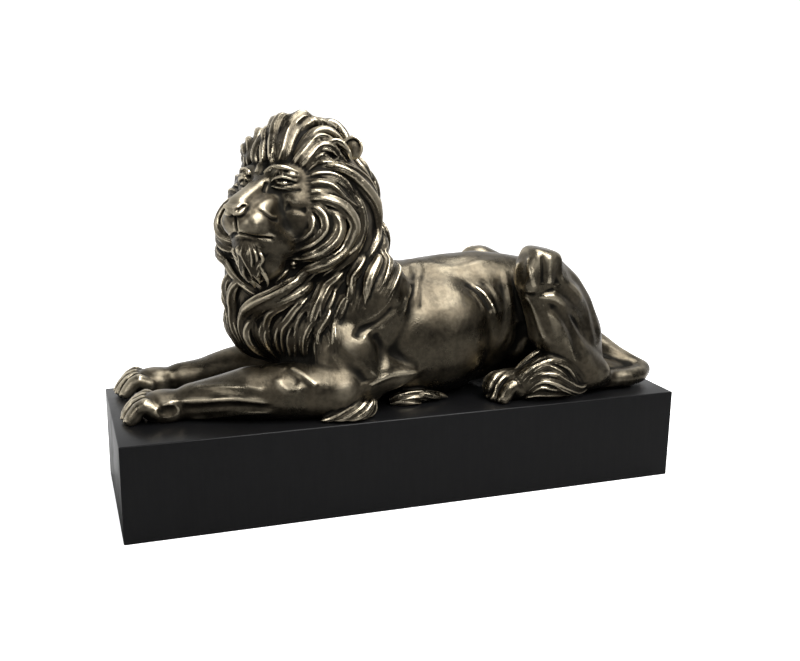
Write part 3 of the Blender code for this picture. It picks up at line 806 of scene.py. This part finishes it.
def addEar(clay, side):
    (f, l, u), radii, turn = faceLook["ear"]
    breadth, height, thick = faceLook["rim"]
    stand, back = faceLook["rimLean"]
    middle, splay = Vector((f, l * side, u)), spin(turn * side)
    bowl = middle + splay @ Vector((-faceLook["earBack"], 0, 0))
    addBall(clay, headPlace(*bowl), radii, headTurn @ splay)
    rim = []
    for degrees in range(-72, 253, 12):
        a = math.radians(degrees)
        ahead = stand - back * max(0, -math.sin(a)) ** 2
        place = Vector((ahead, breadth * math.cos(a) * side, height * math.sin(a)))
        rim.append(headPlace(*(middle + splay @ place)))
    addRoll(rim, [thick * (1 + math.sin(math.pi * i / (len(rim) - 1))) for i in range(len(rim))])


def addFace(clay):
    centre, radii, tip = faceLook["nosePad"]
    addBall(clay, headPlace(*centre), radii, headTurn @ spin(tip, "Y"), unitBlock)
    for side in (-1, 1):
        addEye(clay, side)
        addEar(clay, side)
    for path, radius, end in faceRolls:
        addFaceRoll(path, radius, end)


pawLook = {
    "paws": (  # place, turn, step between the toes, and their thickness, reach and rise
        ((-118.5, -11.6), -8, 5.1, 4.2, 14.5, 9.5),
        ((-118.5, 33.2), 2, 4.9, 4.0, 14.5, 9.0),
        ((56, -31), 8, 4.1, 4.0, 12.5, 9.5),
        ((56, 31), -8, 4.1, 4.0, 12.5, 9.5),
    ),
    # a toe bends down over its knuckle: shares of its reach, rise and thickness
    "toe": ((0.1, 0.62, 0.9), (0.5, 0.88, 0.92), (0.72, 0.74, 0.9), (0.9, 0.46, 0.88), (1, 0.3, 0.78)),
    "claw": ((1.2, 0.4, 1.4), (2.6, 0.28, 1.1), (3.6, 0.12, 0.5)),  # reach past the toe, level, radius
    "cleft": ((6, 13.6), (8, 12.4), (10, 10.6), (12.4, 7.4), (14, 4), (15, 1)),  # reach and level
    "cleftStroke": (1.3, -1.1, 0.3),  # radius, depth, and how soon the ends fade
    "dish": (-116.3, -23.4, 6.6),  # the hollow on the near wrist
    "dishStroke": (5.0, -1.5, 0),
    "rim": (5.2, 3.4),  # of the hollow: half breadth and half height
    "rimStroke": (1.3, 0.5, 0),
    "shorter": 0.9,  # how much less the outer toes reach
}


def pawAxes(turn):
    return spin(turn) @ Vector((-1, 0, 0)), spin(turn) @ Vector((0, 1, 0))


def addPaw(clay, spot, turn, step, thick, reach, rise):
    # four toes side by side, the outer ones shorter, with a short claw at the end of each
    along, across = pawAxes(turn)
    for i in range(4):
        o = i - 1.5
        far = reach - pawLook["shorter"] * o * o
        stations = []
        for share, height, fat in pawLook["toe"]:
            p = along * (share * far) + across * (o * step)
            stations.append((spot[0] + p.x, spot[1] + p.y, height * rise, fat * thick))
        addLimb(clay, stations)
        line = []
        for further, height, _ in pawLook["claw"]:
            p = along * (far + further) + across * (o * step)
            line.append(bodyPlace(spot[0] + p.x, spot[1] + p.y, height * rise))
        addRoll(line, [radius for _, _, radius in pawLook["claw"]])


def carve(clay):
    addFace(clay)
    for paw in pawLook["paws"]:
        addPaw(clay, *paw)
    clay.from_mesh(meshOf(features))
    clay.from_mesh(meshOf(hair))


carving = bmesh.new()
carving.from_mesh(body.data)
carve(carving)
bpy.data.objects.remove(body)
lion = fuse(carving, "lionCasting", clayGrain["carved"], 1)
print("carved form", len(lion.data.polygons))

# Chiselled lines and soft folds, worked on the vertices


def readVectors(mesh, name):
    values = np.empty(len(mesh.vertices) * 3, np.float32)
    mesh.vertices.foreach_get(name, values)
    return values.reshape(-1, 3).astype(float)


spots = readVectors(lion.data, "co")
ways = readVectors(lion.data, "normal")
carvedSkin = skinOf(lion)


def stroke(path, radius, depth, taper=0.15):
    # raises the surface within a radius of a path, or sets it back where the depth is negative
    line = np.array([tuple(p) for p in path])
    reach = radius * mm
    near = np.flatnonzero(((spots > line.min(0) - reach) & (spots < line.max(0) + reach)).all(1))
    if not len(near):
        return
    p = spots[near]
    best = np.full(len(near), 1.0)
    where = np.zeros(len(near))
    for i, (a, b) in enumerate(zip(line[:-1], line[1:])):
        run = b - a
        t = np.clip((p - a) @ run / max(run @ run, 1e-12), 0, 1)
        gap = ((p - a - t[:, None] * run) ** 2).sum(1)
        closer = gap < best
        best[closer] = gap[closer]
        where[closer] = ((i + t) / (len(line) - 1))[closer]
    share = np.clip(1 - best / reach**2, 0, 1) ** 2
    ends = np.clip(np.minimum(where, 1 - where) / taper, 0, 1) if taper else 1
    spots[near] += ways[near] * (depth * mm * share * ends)[:, None]


def onSkin(points):
    return [carvedSkin.find_nearest(p)[0] for p in points]


def curveOnSkin(place, path):
    count = 6 * len(path)
    return onSkin([place(*onCurve(path, i / count)) for i in range(count + 1)])


def facePath(path, side):
    return curveOnSkin(headPlace, [(f, l * side, u) for f, l, u in path])


def bodyPath(path, side):
    return curveOnSkin(bodyPlace, [(x, -y * side, z) for x, y, z in path])


faceLines = (  # path, radius, depth; the lion's left, and mirrored
    (  # mouth
        ((43.4, 0, -15.2), (42, 3.4, -16), (38.5, 7.3, -16.8), (35, 10.6, -17.1), (32.4, 12.6, -17.3)),
        1.2,
        -1.5,
    ),
    (((46.8, 2.2, -4.6), (46.4, 4.2, -4.2), (45, 5.4, -3), (44.2, 5.6, -2.4)), 1.3, -2.2),  # nostril
    (  # crease
        ((39, 7.2, -4.4), (37, 8.4, -6.8), (34.4, 9.6, -8.6), (31.4, 11.2, -9), (28.4, 13, -8.8)),
        1.3,
        -0.6,
    ),
    (  # and the fold over it
        ((37.4, 8.4, -4.4), (35.4, 9.4, -6.2), (32.4, 10.8, -7.2), (29.4, 12.4, -7.2)),
        1.2,
        0.4,
    ),
    (  # under the upper lid
        ((27, 7, 7.9), (26, 9.4, 8.9), (24.8, 11.6, 9), (22.6, 14.2, 8.3), (20.2, 16.6, 7.5)),
        0.9,
        -1.3,
    ),
    (  # over the lower lid
        ((26.6, 7.2, 7), (25.4, 9.8, 6.6), (23.6, 12.6, 6.7), (21.2, 15.2, 7.2)),
        0.8,
        -0.7,
    ),
    (((25.9, 10.5, 8.1), (25.8, 10.9, 8)), 1.1, -0.9),  # pupil
    (((28.2, 6.2, 8), (29, 5.6, 6), (31, 5.6, 3.6)), 1.3, -0.9),  # inner corner and tear line
    (((28, 5.8, 10), (27, 7.4, 11.8), (25.4, 9.6, 12.6)), 1.6, -1.5),  # the deep corner under the brow
    (((24.4, 11.2, 11.2), (22.4, 14, 11), (20, 16.4, 9.8)), 0.8, -0.7),  # wrinkles of the hood
    (((24, 11.2, 12.6), (22, 14, 12.4), (19.6, 16.6, 11.2)), 0.8, -0.6),
    (((23, 10.4, 3.8), (20, 14, 3.4), (17.6, 16.4, 4.4)), 1.2, -0.5),
    (((24, 12.4, -2.4), (20, 15.4, -3.6), (16, 18.6, -4.6)), 3.0, -1.0),  # under the cheekbone
)


middleLines = (  # the same along the middle of the face: under the nose, and on the forehead
    (((46.6, 0, -5.4), (44.6, 0, -9), (43.6, 0, -15)), 1.1, -1.0),
    (((27, 0, 12), (24, 0, 15), (20, 0, 18.6)), 2.6, -0.9),
)
foreheadFolds = ((((26, 3.4, 13.4), (24.4, 3.8, 15.6), (21.4, 5, 18)), 1.6, 0.6),)


def chiselFace():
    for lines, sides in ((faceLines, (-1, 1)), (middleLines, (1,)), (foreheadFolds, (-1, 1))):
        for path, radius, depth in lines:
            for side in sides:
                stroke(facePath(path, side), radius, depth)


bodyLines = (  # path on the near side, radius, depth, and whether the far side has it too
    (((-2.6, -27, 63.6), (-4.2, -29.8, 60), (-6, -32.3, 54.4), (-9, -34, 48.6)), 3.0, -0.6, True),
    (
        ((9, -6, 66.6), (7.6, -11.3, 64.4), (4, -19.6, 58.7), (-0.7, -28.5, 53.3), (-2.4, -31, 46)),
        2.8,
        -0.55,
        True,
    ),
    (
        ((12.4, -2, 67.9), (11.4, -11, 64.3), (8.7, -19.7, 58.5), (5.8, -26.4, 52.5), (4.1, -29.8, 47.4)),
        2.4,
        -0.45,
        True,
    ),
    (((4.6, -17, 63.6), (1.6, -24.4, 59), (-3.0, -30, 53.6), (-5.6, -32.6, 47)), 2.2, 0.6, True),
    (((14, -6, 67), (26.5, -12, 64.8), (35, -12, 65.6), (44, -11, 67), (54, -10, 67)), 3.0, 0.5, True),
    (((31.2, -18, 58.5), (37, -20, 54.5), (41.4, -23, 48.7), (44.2, -24.5, 43.2)), 2.6, -0.7, True),
    (((32.2, -22.3, 54.2), (36.2, -23.5, 50.6), (38.7, -25.4, 45.3)), 2.2, -0.5, True),
    (((39.9, -16.7, 58.8), (45.4, -19.7, 54), (48.2, -22.5, 47.7), (49.5, -23.7, 42.7)), 2.6, -0.6, True),
    (((35.6, -18.4, 57.6), (41.4, -20.6, 52.6), (45, -23.4, 46.6), (47, -24.4, 42)), 1.8, 0.5, True),
    (((57, -26, 60), (58.4, -28, 50), (60, -29, 40), (60.5, -24, 28), (57, -20, 17)), 5.0, -2.2, True),
    (
        ((55.5, -14, 62.7), (55.6, -20, 53.3), (55.4, -23, 43.7), (53, -24, 33.6), (49, -22.7, 23)),
        3.6,
        0.9,
        True,
    ),
    (((55.3, -31, 70), (54.4, -32, 64), (55, -31.5, 57.6)), 2.6, 0.9, True),
    (((59, -37.5, 73), (58.4, -39.5, 66), (59, -39.6, 58.6)), 2.4, 0.8, True),
    (((62.4, -40, 74), (62.2, -42.3, 67), (62.4, -42.3, 60)), 1.8, -0.7, True),
    (((66, -40, 74), (65.8, -43, 67.4), (66, -43, 59.6)), 2.4, 0.8, True),
    (((56, -35, 56), (60, -40, 55.6), (66, -43, 56.4), (70, -43, 58)), 2.2, -0.7, True),
    (((71, -39, 72), (71, -42.4, 65), (70.8, -43, 59)), 3.2, -0.8, True),
    (
        (
            (60, -39, 55.6), (66, -42.3, 54.2), (72, -42.3, 52), (80, -39.4, 46.4), (86, -37, 40.4),
            (90, -38, 32),
        ),
        3.6,
        1.0,
        True,
    ),
    (
        (
            (64, -42, 50), (70, -43.4, 47.4), (76, -42.8, 41), (80.6, -43.6, 32.8), (84, -44, 25.2),
            (88, -43.7, 18),
        ),
        4.4,
        -1.5,
        True,
    ),
    (
        ((56.2, -36, 56), (58.5, -38.3, 51.3), (60.7, -40, 45.5), (63.6, -41.6, 37), (66.2, -42.4, 31)),
        2.2,
        0.7,
        True,
    ),
    (((61, -40, 51), (64.6, -42, 45), (67.4, -42.6, 38), (70, -43, 31)), 2.4, -0.5, True),
    (((70, -42.3, 66), (76.6, -40.6, 60.3), (83, -38.7, 55.6), (89.3, -36, 49.6)), 2.8, 0.6, True),
    (
        ((78, -38, 65.8), (88, -35, 57.2), (96, -32, 45.8), (98, -34.8, 35.8), (100, -35.6, 25.3)),
        4.4,
        -1.0,
        True,
    ),
    (((-8.7, -33.4, 54), (-18, -35.7, 46), (-27.5, -36, 42), (-30.5, -38, 38)), 3.6, -1.2, True),
    (((-22, -35.7, 41.6), (-18, -35.6, 34), (-17.8, -38, 27.3), (-21.8, -41.3, 21)), 5.0, -1.1, True),
    (((-42.6, -36, 36), (-36.4, -39.8, 29), (-28.6, -41, 21.7), (-23.6, -41, 16.3)), 5.0, -1.1, True),
    (((-30, -42, 16), (-14, -39, 19.6), (2.2, -33.6, 18.7)), 2.2, 0.8, True),
    (((-105, -19, 15.7), (-94.4, -24.2, 17.2), (-80, -33.5, 17.7), (-73, -35.6, 16.4)), 2.2, 0.6, False),
    (
        ((-119, -22, 9.7), (-110, -21, 10.5), (-97, -26, 11.4), (-84.5, -33, 12.7), (-71.5, -37, 11.3)),
        2.2,
        0.7,
        False,
    ),
    (((-112, -20, 6.4), (-97, -26, 8), (-84, -33, 9), (-70, -38, 8)), 2.8, -0.8, False),
    (((-108, -20, 1.7), (-95, -25, 3), (-82, -32, 5.5), (-67, -37, 6)), 2.2, 0.6, False),
    (((-67.4, -34, 22), (-66, -38, 17.7), (-61.7, -39.6, 16), (-56, -40.5, 17.2)), 3.4, 0.7, True),
    (((-60.6, -31, 25), (-55, -37.7, 22), (-50, -41.5, 17.8)), 2.8, 0.8, True),
    (((-64, -31, 26), (-61, -36, 22.4), (-58, -38, 19.6)), 3.0, -0.6, True),
)


def chiselToes(spot, turn, step):
    along, across = pawAxes(turn)
    for gap in (-1, 0, 1):
        line = []
        for reach, z in pawLook["cleft"]:
            p = across * (gap * step) + along * reach
            line.append(bodyPlace(spot[0] + p.x, spot[1] + p.y, z))
        finer = [line[k].lerp(line[k + 1], t / 4) for k in range(len(line) - 1) for t in range(4)]
        stroke(onSkin(finer), *pawLook["cleftStroke"])


def chiselBody():
    for path, radius, depth, both in bodyLines:
        for side in (-1, 1) if both else (-1,):
            stroke(bodyPath(path, side), radius, depth)
    for spot, turn, step, *_ in pawLook["paws"]:
        chiselToes(spot, turn, step)
    x, y, z = pawLook["dish"]
    stroke(onSkin([bodyPlace(x - 1.1, y, z), bodyPlace(x + 1.1, y, z)]), *pawLook["dishStroke"])
    breadth, height = pawLook["rim"]
    rim = []
    for i in range(17):
        a = i / 8 * math.pi
        rim.append(bodyPlace(x + breadth * math.cos(a), y + 0.4, z + height * math.sin(a)))
    stroke(onSkin(rim), *pawLook["rimStroke"])


chiselFace()
chiselBody()
print("chiselling done")

# Hair grain between and over the locks, along the nearest lock

grainLook = {
    "reach": 3.4,  # how far from a lock's middle the hair grain runs
    "bare": ((30, 0, 0), (21, 20.5, 19)),  # the face, which has none: centre and radii in the head's frame
    "step": 1.7,  # from one groove to the next
    "depth": 0.12,
}
flowTree = KDTree(len(flow))
for i, (p, _, _) in enumerate(flow):
    flowTree.insert(p, i)
flowTree.balance()


def strandAcross(points):
    # how far each point lies across its nearest lock, in millimetres, and how much it is hair
    across = np.zeros(len(points))
    amount = np.zeros(len(points))
    centre, radii = grainLook["bare"]
    local = ((np.asarray(points) - np.array(headPlace(0, 0, 0))) / mm) @ np.array(headTurn)
    bare = (((local - centre) / radii) ** 2).sum(1)
    for i, p in enumerate(points):
        where, k, gap = flowTree.find(p)
        gap /= mm
        if gap < grainLook["reach"]:
            _, side, shift = flow[k]
            across[i] = (Vector(p) - where).dot(side) / mm + shift
            amount[i] = min(1, (grainLook["reach"] - gap) / 2)
    return across, amount * np.clip((bare - 0.9) / 0.2, 0, 1)


# The hand-worked unevenness of the metal, as a sum of waves

unevenLook = {
    "depth": 0.075,  # in millimetres
    "waves": 16,
    "short": 5,  # shortest and longest wave
    "long": 18,
}


def unevenness(points):
    total = np.zeros(len(points))
    for _ in range(unevenLook["waves"]):
        length = chance.uniform(unevenLook["short"], unevenLook["long"]) * mm
        way = np.array([chance.gauss(0, 1) for _ in range(3)])
        way *= 2 * math.pi / (length * np.linalg.norm(way))
        total += np.sin(points @ way + chance.uniform(0, 6.28))
    return total / math.sqrt(0.5 * unevenLook["waves"])


across, amount = strandAcross(spots)
spots += ways * (unevenLook["depth"] * mm * unevenness(spots) * (1 - 0.6 * amount))[:, None]
spots += ways * (grainLook["depth"] * mm * amount * np.cos(across * 2 * math.pi / grainLook["step"]))[:, None]
lion.data.vertices.foreach_set("co", spots.ravel())
lion.data.update()
print("hair grain done")


def cutFlatBelow(obj, level):
    onlySelected(obj)
    bpy.ops.object.mode_set(mode="EDIT")
    bpy.ops.mesh.select_all(action="SELECT")
    bpy.ops.mesh.bisect(plane_co=(0, 0, level), plane_no=(0, 0, 1), clear_inner=True, use_fill=True)
    bpy.ops.mesh.select_all(action="DESELECT")
    bpy.ops.object.mode_set(mode="OBJECT")


def relief(obj, spread):
    # height of each vertex over its surroundings smoothed that far, all in millimetres
    mesh = obj.data
    here, facing = readVectors(mesh, "co"), readVectors(mesh, "normal")
    ends = np.empty(len(mesh.edges) * 2, np.int32)
    mesh.edges.foreach_get("vertices", ends)
    a, b = ends.reshape(-1, 2).T
    count = np.bincount(a, minlength=len(here)) + np.bincount(b, minlength=len(here))
    soft = here.copy()
    for _ in range(round(2 * (spread / clayGrain["carved"]) ** 2)):
        towards = [np.bincount(a, soft[b, i], len(here)) for i in range(3)]
        back = [np.bincount(b, soft[a, i], len(here)) for i in range(3)]
        soft = (np.stack(towards, 1) + np.stack(back, 1)) / count[:, None]
    return ((here - soft) * facing).sum(1) / mm


def storeValue(obj, name, values):
    layer = obj.data.attributes.new(name, "FLOAT", "POINT")
    layer.data.foreach_set("value", np.asarray(values, np.float32))


reliefLook = {"fineRelief": 1.1, "broadRelief": 4.0}  # how far the surroundings are smoothed
for name, spread in reliefLook.items():
    storeValue(lion, name, relief(lion, spread))
faces = sum(len(p.vertices) - 2 for p in lion.data.polygons)
thin = lion.modifiers.new("thin", "DECIMATE")
thin.ratio = min(1, clayGrain["triangles"] / faces)
thin.use_collapse_triangulate = True
applyModifiers(lion)
cutFlatBelow(lion, seat)
for polygon in lion.data.polygons:
    polygon.use_smooth = True
print("casting", sum(len(p.vertices) - 2 for p in lion.data.polygons), "triangles")

across, amount = strandAcross(readVectors(lion.data, "co"))
storeValue(lion, "strand", across)
storeValue(lion, "hair", amount)
print("relief read")

# Materials


def newGroup(name, inputs, outputs):
    group = bpy.data.node_groups.new(name, "ShaderNodeTree")
    for label, kind, value in inputs:
        socket = group.interface.new_socket(name=label, in_out="INPUT", socket_type=kind)
        socket.default_value = value
    for label, kind in outputs:
        group.interface.new_socket(name=label, in_out="OUTPUT", socket_type=kind)
    return group, group.nodes.new("NodeGroupInput"), group.nodes.new("NodeGroupOutput")


def addNode(tree, kind, **values):
    node = tree.nodes.new("ShaderNode" + kind)
    for name, value in values.items():
        setattr(node, name, value)
    return node


def math2(tree, operation, a, b=0.0, clamp=False):
    node = addNode(tree, "Math", operation=operation, use_clamp=clamp)
    for socket, value in zip(node.inputs, (a, b)):
        if isinstance(value, (int, float)):
            socket.default_value = value
        else:
            tree.links.new(value, socket)
    return node.outputs[0]


def remap(tree, value, low, high, fromOut=0.0, toOut=1.0):
    node = addNode(tree, "MapRange", interpolation_type="SMOOTHSTEP")
    tree.links.new(value, node.inputs["Value"])
    for name, number in (("From Min", low), ("From Max", high), ("To Min", fromOut), ("To Max", toOut)):
        if isinstance(number, (int, float)):
            node.inputs[name].default_value = number
        else:
            tree.links.new(number, node.inputs[name])
    return node.outputs["Result"]


def noise(tree, vector, scale, detail=3.0, roughness=0.55):
    node = addNode(tree, "TexNoise")
    tree.links.new(vector, node.inputs["Vector"])
    node.inputs["Detail"].default_value = detail
    node.inputs["Roughness"].default_value = roughness
    if isinstance(scale, (int, float)):
        node.inputs["Scale"].default_value = scale
    else:
        tree.links.new(scale, node.inputs["Scale"])
    return node.outputs["Fac"]


def mixColour(tree, share, a, b):
    node = addNode(tree, "Mix", data_type="RGBA")
    for socket, value in zip((node.inputs["Factor"], node.inputs[6], node.inputs[7]), (share, a, b)):
        if isinstance(value, tuple):
            socket.default_value = (*value, 1)
        elif isinstance(value, (int, float)):
            socket.default_value = value
        else:
            tree.links.new(value, socket)
    return node.outputs[2]


def speckleGroup():
    # fine and coarse unevenness of a surface, as masks from 0 to 1
    group, given, put = newGroup(
        "speckle",
        (
            ("Coarse Scale", "NodeSocketFloat", 90.0),
            ("Fine Scale", "NodeSocketFloat", 1400.0),
        ),
        (("Coarse", "NodeSocketFloat"), ("Middle", "NodeSocketFloat"), ("Fine", "NodeSocketFloat")),
    )
    place = addNode(group, "TexCoord").outputs["Object"]
    group.links.new(
        remap(group, noise(group, place, given.outputs["Coarse Scale"], 4), 0.35, 0.65), put.inputs["Coarse"]
    )
    middle = math2(group, "MULTIPLY", given.outputs["Coarse Scale"], 6.0)
    group.links.new(noise(group, place, middle, 3), put.inputs["Middle"])
    group.links.new(noise(group, place, given.outputs["Fine Scale"], 2), put.inputs["Fine"])
    return group


speckle = speckleGroup()


def placeGroup(tree, group, **values):
    node = addNode(tree, "Group")
    node.node_tree = group
    for name, value in values.items():
        node.inputs[name.replace("_", " ")].default_value = value
    return node


def newMaterial(name):
    made = bpy.data.materials.new(name)
    made.use_nodes = True
    return made, made.node_tree, made.node_tree.nodes["Principled BSDF"]


def attribute(tree, name):
    node = addNode(tree, "Attribute")
    node.attribute_name = name
    return node.outputs["Fac"]


bronzeLook = {
    "recess": (0.013, 0.012, 0.010),  # blackened wax left in the hollows
    "metal": (0.106, 0.091, 0.065),  # patinated brown bronze
    "warm": (0.142, 0.116, 0.080),  # where the brown runs redder
    "rubbedAndSheen": (0.74, 0.65, 0.48),  # gold rubbed onto the ridges, and on broad swells of the bare skin partly a painted highlight
    "smooth": 0.27,
    "rough": 0.42,
    "mottle": 0.3,  # how far the dark patches of the skin go towards the recess
    "hairDark": 0.55,  # and the hair
    "hairStep": 0.8,  # millimetres from one fine hair to the next
}


def bronzeMaterial():
    made, tree, shader = newMaterial("patinatedBronze")
    fine = attribute(tree, "fineRelief")
    broad = attribute(tree, "broadRelief")
    marks = placeGroup(tree, speckle, Coarse_Scale=70.0, Fine_Scale=1500.0)
    coarse, grain = marks.outputs["Coarse"], marks.outputs["Fine"]
    turns = math2(tree, "MULTIPLY", attribute(tree, "strand"), 2 * math.pi / bronzeLook["hairStep"])
    wave = math2(tree, "MULTIPLY", math2(tree, "SINE", turns), attribute(tree, "hair"))
    uneven = math2(tree, "MULTIPLY", math2(tree, "SUBTRACT", grain, 0.5), 0.18)
    uneven = math2(tree, "ADD", uneven, math2(tree, "MULTIPLY", wave, 0.06))
    ridge = remap(tree, math2(tree, "ADD", fine, uneven), 0.12, 0.28)
    low = math2(tree, "ADD", math2(tree, "MULTIPLY", fine, 1.5), math2(tree, "MULTIPLY", broad, 0.4))
    hollow = remap(tree, low, -0.04, -0.5)
    smoothSkin = math2(tree, "SUBTRACT", 1.0, attribute(tree, "hair"))
    # broad swells of the bare skin get gold that is partly rubbed wear and partly a painted highlight
    wearAndSheen = math2(tree, "MULTIPLY", remap(tree, broad, 0.45, 1.0), smoothSkin)
    wearAndSheen = math2(tree, "MULTIPLY", wearAndSheen, math2(tree, "MULTIPLY", coarse, 0.55))
    ridge = math2(tree, "MAXIMUM", ridge, wearAndSheen)
    base = mixColour(tree, math2(tree, "MULTIPLY", coarse, 0.5), bronzeLook["metal"], bronzeLook["warm"])
    mottle = remap(tree, marks.outputs["Middle"], 0.62, 0.36, 0.0, bronzeLook["mottle"])
    base = mixColour(tree, math2(tree, "MULTIPLY", mottle, smoothSkin), base, bronzeLook["recess"])
    between = math2(tree, "MULTIPLY", attribute(tree, "hair"), bronzeLook["hairDark"])
    base = mixColour(tree, between, base, bronzeLook["recess"])
    base = mixColour(tree, hollow, base, bronzeLook["recess"])
    # gold over the ridges is rubbed wear; over the broad swells it is rubbed wear and a painted highlight
    base = mixColour(tree, math2(tree, "MULTIPLY", ridge, 0.85), base, bronzeLook["rubbedAndSheen"])
    tree.links.new(base, shader.inputs["Base Color"])
    shader.inputs["Metallic"].default_value = 1.0
    rough = remap(tree, coarse, 0.0, 1.0, bronzeLook["smooth"], bronzeLook["rough"])
    rough = math2(tree, "ADD", rough, math2(tree, "MULTIPLY", hollow, 0.3))
    tree.links.new(rough, shader.inputs["Roughness"])
    bump = addNode(tree, "Bump")
    bump.inputs["Strength"].default_value = 0.5
    bump.inputs["Distance"].default_value = 0.15 * mm
    hammered = math2(tree, "ADD", grain, marks.outputs["Middle"])
    height = math2(tree, "ADD", math2(tree, "MULTIPLY", wave, 0.45), hammered)
    tree.links.new(height, bump.inputs["Height"])
    tree.links.new(bump.outputs["Normal"], shader.inputs["Normal"])
    return made


finishPiece(lion, "bronze", bronzeMaterial(), "lion")
print("bronze done")

plinthLook = {
    "edge": 0.7,  # rounding of the edges, in millimetres
    "colour": (0.0042, 0.0042, 0.0046),
    "dull": (0.0074, 0.0074, 0.0076),
    "smooth": 0.30,
    "rough": 0.42,
}


def plinthMaterial():
    made, tree, shader = newMaterial("blackSatin")
    shader.inputs["Specular IOR Level"].default_value = 0.17
    marks = placeGroup(tree, speckle, Coarse_Scale=30.0, Fine_Scale=2200.0)
    place = addNode(tree, "TexCoord").outputs["Object"]
    stretch = addNode(tree, "Mapping")
    stretch.inputs["Scale"].default_value = (900, 900, 60)
    tree.links.new(place, stretch.inputs["Vector"])
    streak = noise(tree, stretch.outputs["Vector"], 1.0, 2)
    tree.links.new(
        mixColour(tree, math2(tree, "MULTIPLY", streak, 0.8), plinthLook["colour"], plinthLook["dull"]),
        shader.inputs["Base Color"],
    )
    tree.links.new(
        remap(tree, marks.outputs["Coarse"], 0.0, 1.0, plinthLook["smooth"], plinthLook["rough"]),
        shader.inputs["Roughness"],
    )
    bump = addNode(tree, "Bump")
    bump.inputs["Strength"].default_value = 0.25
    bump.inputs["Distance"].default_value = 0.06 * mm
    tree.links.new(math2(tree, "ADD", streak, marks.outputs["Fine"]), bump.inputs["Height"])
    tree.links.new(bump.outputs["Normal"], shader.inputs["Normal"])
    return made


def makePlinth():
    onlySelected(lion)
    lion.select_set(False)
    size = plinthHigh - plinthLow
    bpy.ops.mesh.primitive_cube_add(size=1, location=(plinthLow + plinthHigh) / 2, scale=size)
    block = bpy.context.object
    block.name = "plinthBlock"
    bpy.ops.object.transform_apply(location=True, rotation=True, scale=True)
    rounding = block.modifiers.new("edge", "BEVEL")
    rounding.width = plinthLook["edge"] * mm
    rounding.segments = 4
    applyModifiers(block)
    bpy.ops.object.shade_smooth_by_angle(angle=math.radians(40))
    finishPiece(block, "black_plinth", plinthMaterial(), "plinth")
    return block


makePlinth()
print("plinth done")

# Studio

studioLook = {
    "floor": (0.80, 0.80, 0.80),
    "mirrored": (0.22, 0.22, 0.22),  # how bright the floor before the plinth shows in the metal
    "floorGlow": 0.9,  # added where the camera sees the floor, so that it runs into the backdrop
    "backdrop": 1.15,
    "behind": 1.1,  # what the metal mirrors from behind the lion
    "before": 0.10,  # and from the camera's side
    "above": 0.55,  # share of both that comes from high up
    "lights": (  # name, place, aim, width, height, watts
        ("frontTop", (0.16, -0.44, 0.68), (0.0, 0.0, 0.09), 0.62, 0.50, 8.6),
        ("overhead", (0.20, 0.02, 0.80), (0.0, 0.0, 0.09), 0.60, 0.36, 4.2),
        ("leftSide", (-0.80, -0.48, 0.34), (0.0, 0.0, 0.10), 0.30, 0.40, 1.4),
    ),
}


def makeStudio():
    world = bpy.data.worlds.new("studio")
    bpy.context.scene.world = world
    world.use_nodes = True
    tree = world.node_tree
    background = tree.nodes["Background"]
    background.inputs["Color"].default_value = (1, 1, 1, 1)
    path = addNode(tree, "LightPath")
    parts = addNode(tree, "SeparateXYZ")
    tree.links.new(addNode(tree, "TexCoord").outputs["Generated"], parts.inputs["Vector"])
    around = remap(tree, parts.outputs["Y"], -0.25, 0.55, studioLook["before"], studioLook["behind"])
    above = remap(tree, parts.outputs["Z"], 0.3, 0.8, 1.0, studioLook["above"])
    around = math2(tree, "MULTIPLY", around, above)
    strength = remap(tree, path.outputs["Is Camera Ray"], 0.0, 1.0, around, studioLook["backdrop"])
    tree.links.new(strength, background.inputs["Strength"])
    bpy.ops.mesh.primitive_plane_add(size=6, location=(0, 0, plinthLow.z))
    floor = bpy.context.object
    floor.name = "floor"
    made, tree, shader = newMaterial("paleFloor")
    path = addNode(tree, "LightPath")
    depth = addNode(tree, "SeparateXYZ")
    tree.links.new(addNode(tree, "TexCoord").outputs["Object"], depth.inputs["Vector"])
    before = remap(tree, depth.outputs["Y"], -0.05, 0.03, 1.0, 0.0)
    mirrored = math2(tree, "MULTIPLY", path.outputs["Is Glossy Ray"], before)
    seen = mixColour(tree, mirrored, studioLook["floor"], studioLook["mirrored"])
    tree.links.new(seen, shader.inputs["Base Color"])
    shader.inputs["Roughness"].default_value = 0.8
    shader.inputs["Emission Color"].default_value = (1, 1, 1, 1)
    glow = math2(tree, "MULTIPLY", path.outputs["Is Camera Ray"], studioLook["floorGlow"])
    tree.links.new(glow, shader.inputs["Emission Strength"])
    floor.data.materials.append(made)
    for name, place, aim, wide, tall, watts in studioLook["lights"]:
        data = bpy.data.lights.new(name, "AREA")
        data.shape = "RECTANGLE"
        data.size, data.size_y = wide, tall
        data.energy = watts
        lamp = bpy.data.objects.new(name, data)
        lamp.location = place
        lamp.rotation_euler = (Vector(place) - Vector(aim)).to_track_quat("Z", "Y").to_euler()
        bpy.context.scene.collection.objects.link(lamp)


def makeCamera():
    yaw, pitch, roll = (math.radians(cameraSetup[k]) for k in ("yaw", "pitch", "roll"))
    forward = Vector((math.sin(yaw) * math.cos(pitch), math.cos(yaw) * math.cos(pitch), -math.sin(pitch)))
    right = Vector((math.cos(yaw), -math.sin(yaw), 0))
    up = right.cross(forward)
    tilt = Matrix.Rotation(-roll, 3, forward)
    turn = Matrix((tilt @ right, tilt @ up, -forward)).transposed()
    data = bpy.data.cameras.new("view")
    data.sensor_width = 36
    data.lens = cameraSetup["lens"]
    camera = bpy.data.objects.new("view", data)
    camera.matrix_world = Matrix.Translation(Vector(cameraSetup["place"]) * mm) @ turn.to_4x4()
    bpy.context.scene.collection.objects.link(camera)
    bpy.context.scene.camera = camera
    bpy.context.scene.view_settings.view_transform = "Standard"


makeStudio()
makeCamera()
print("studio done")
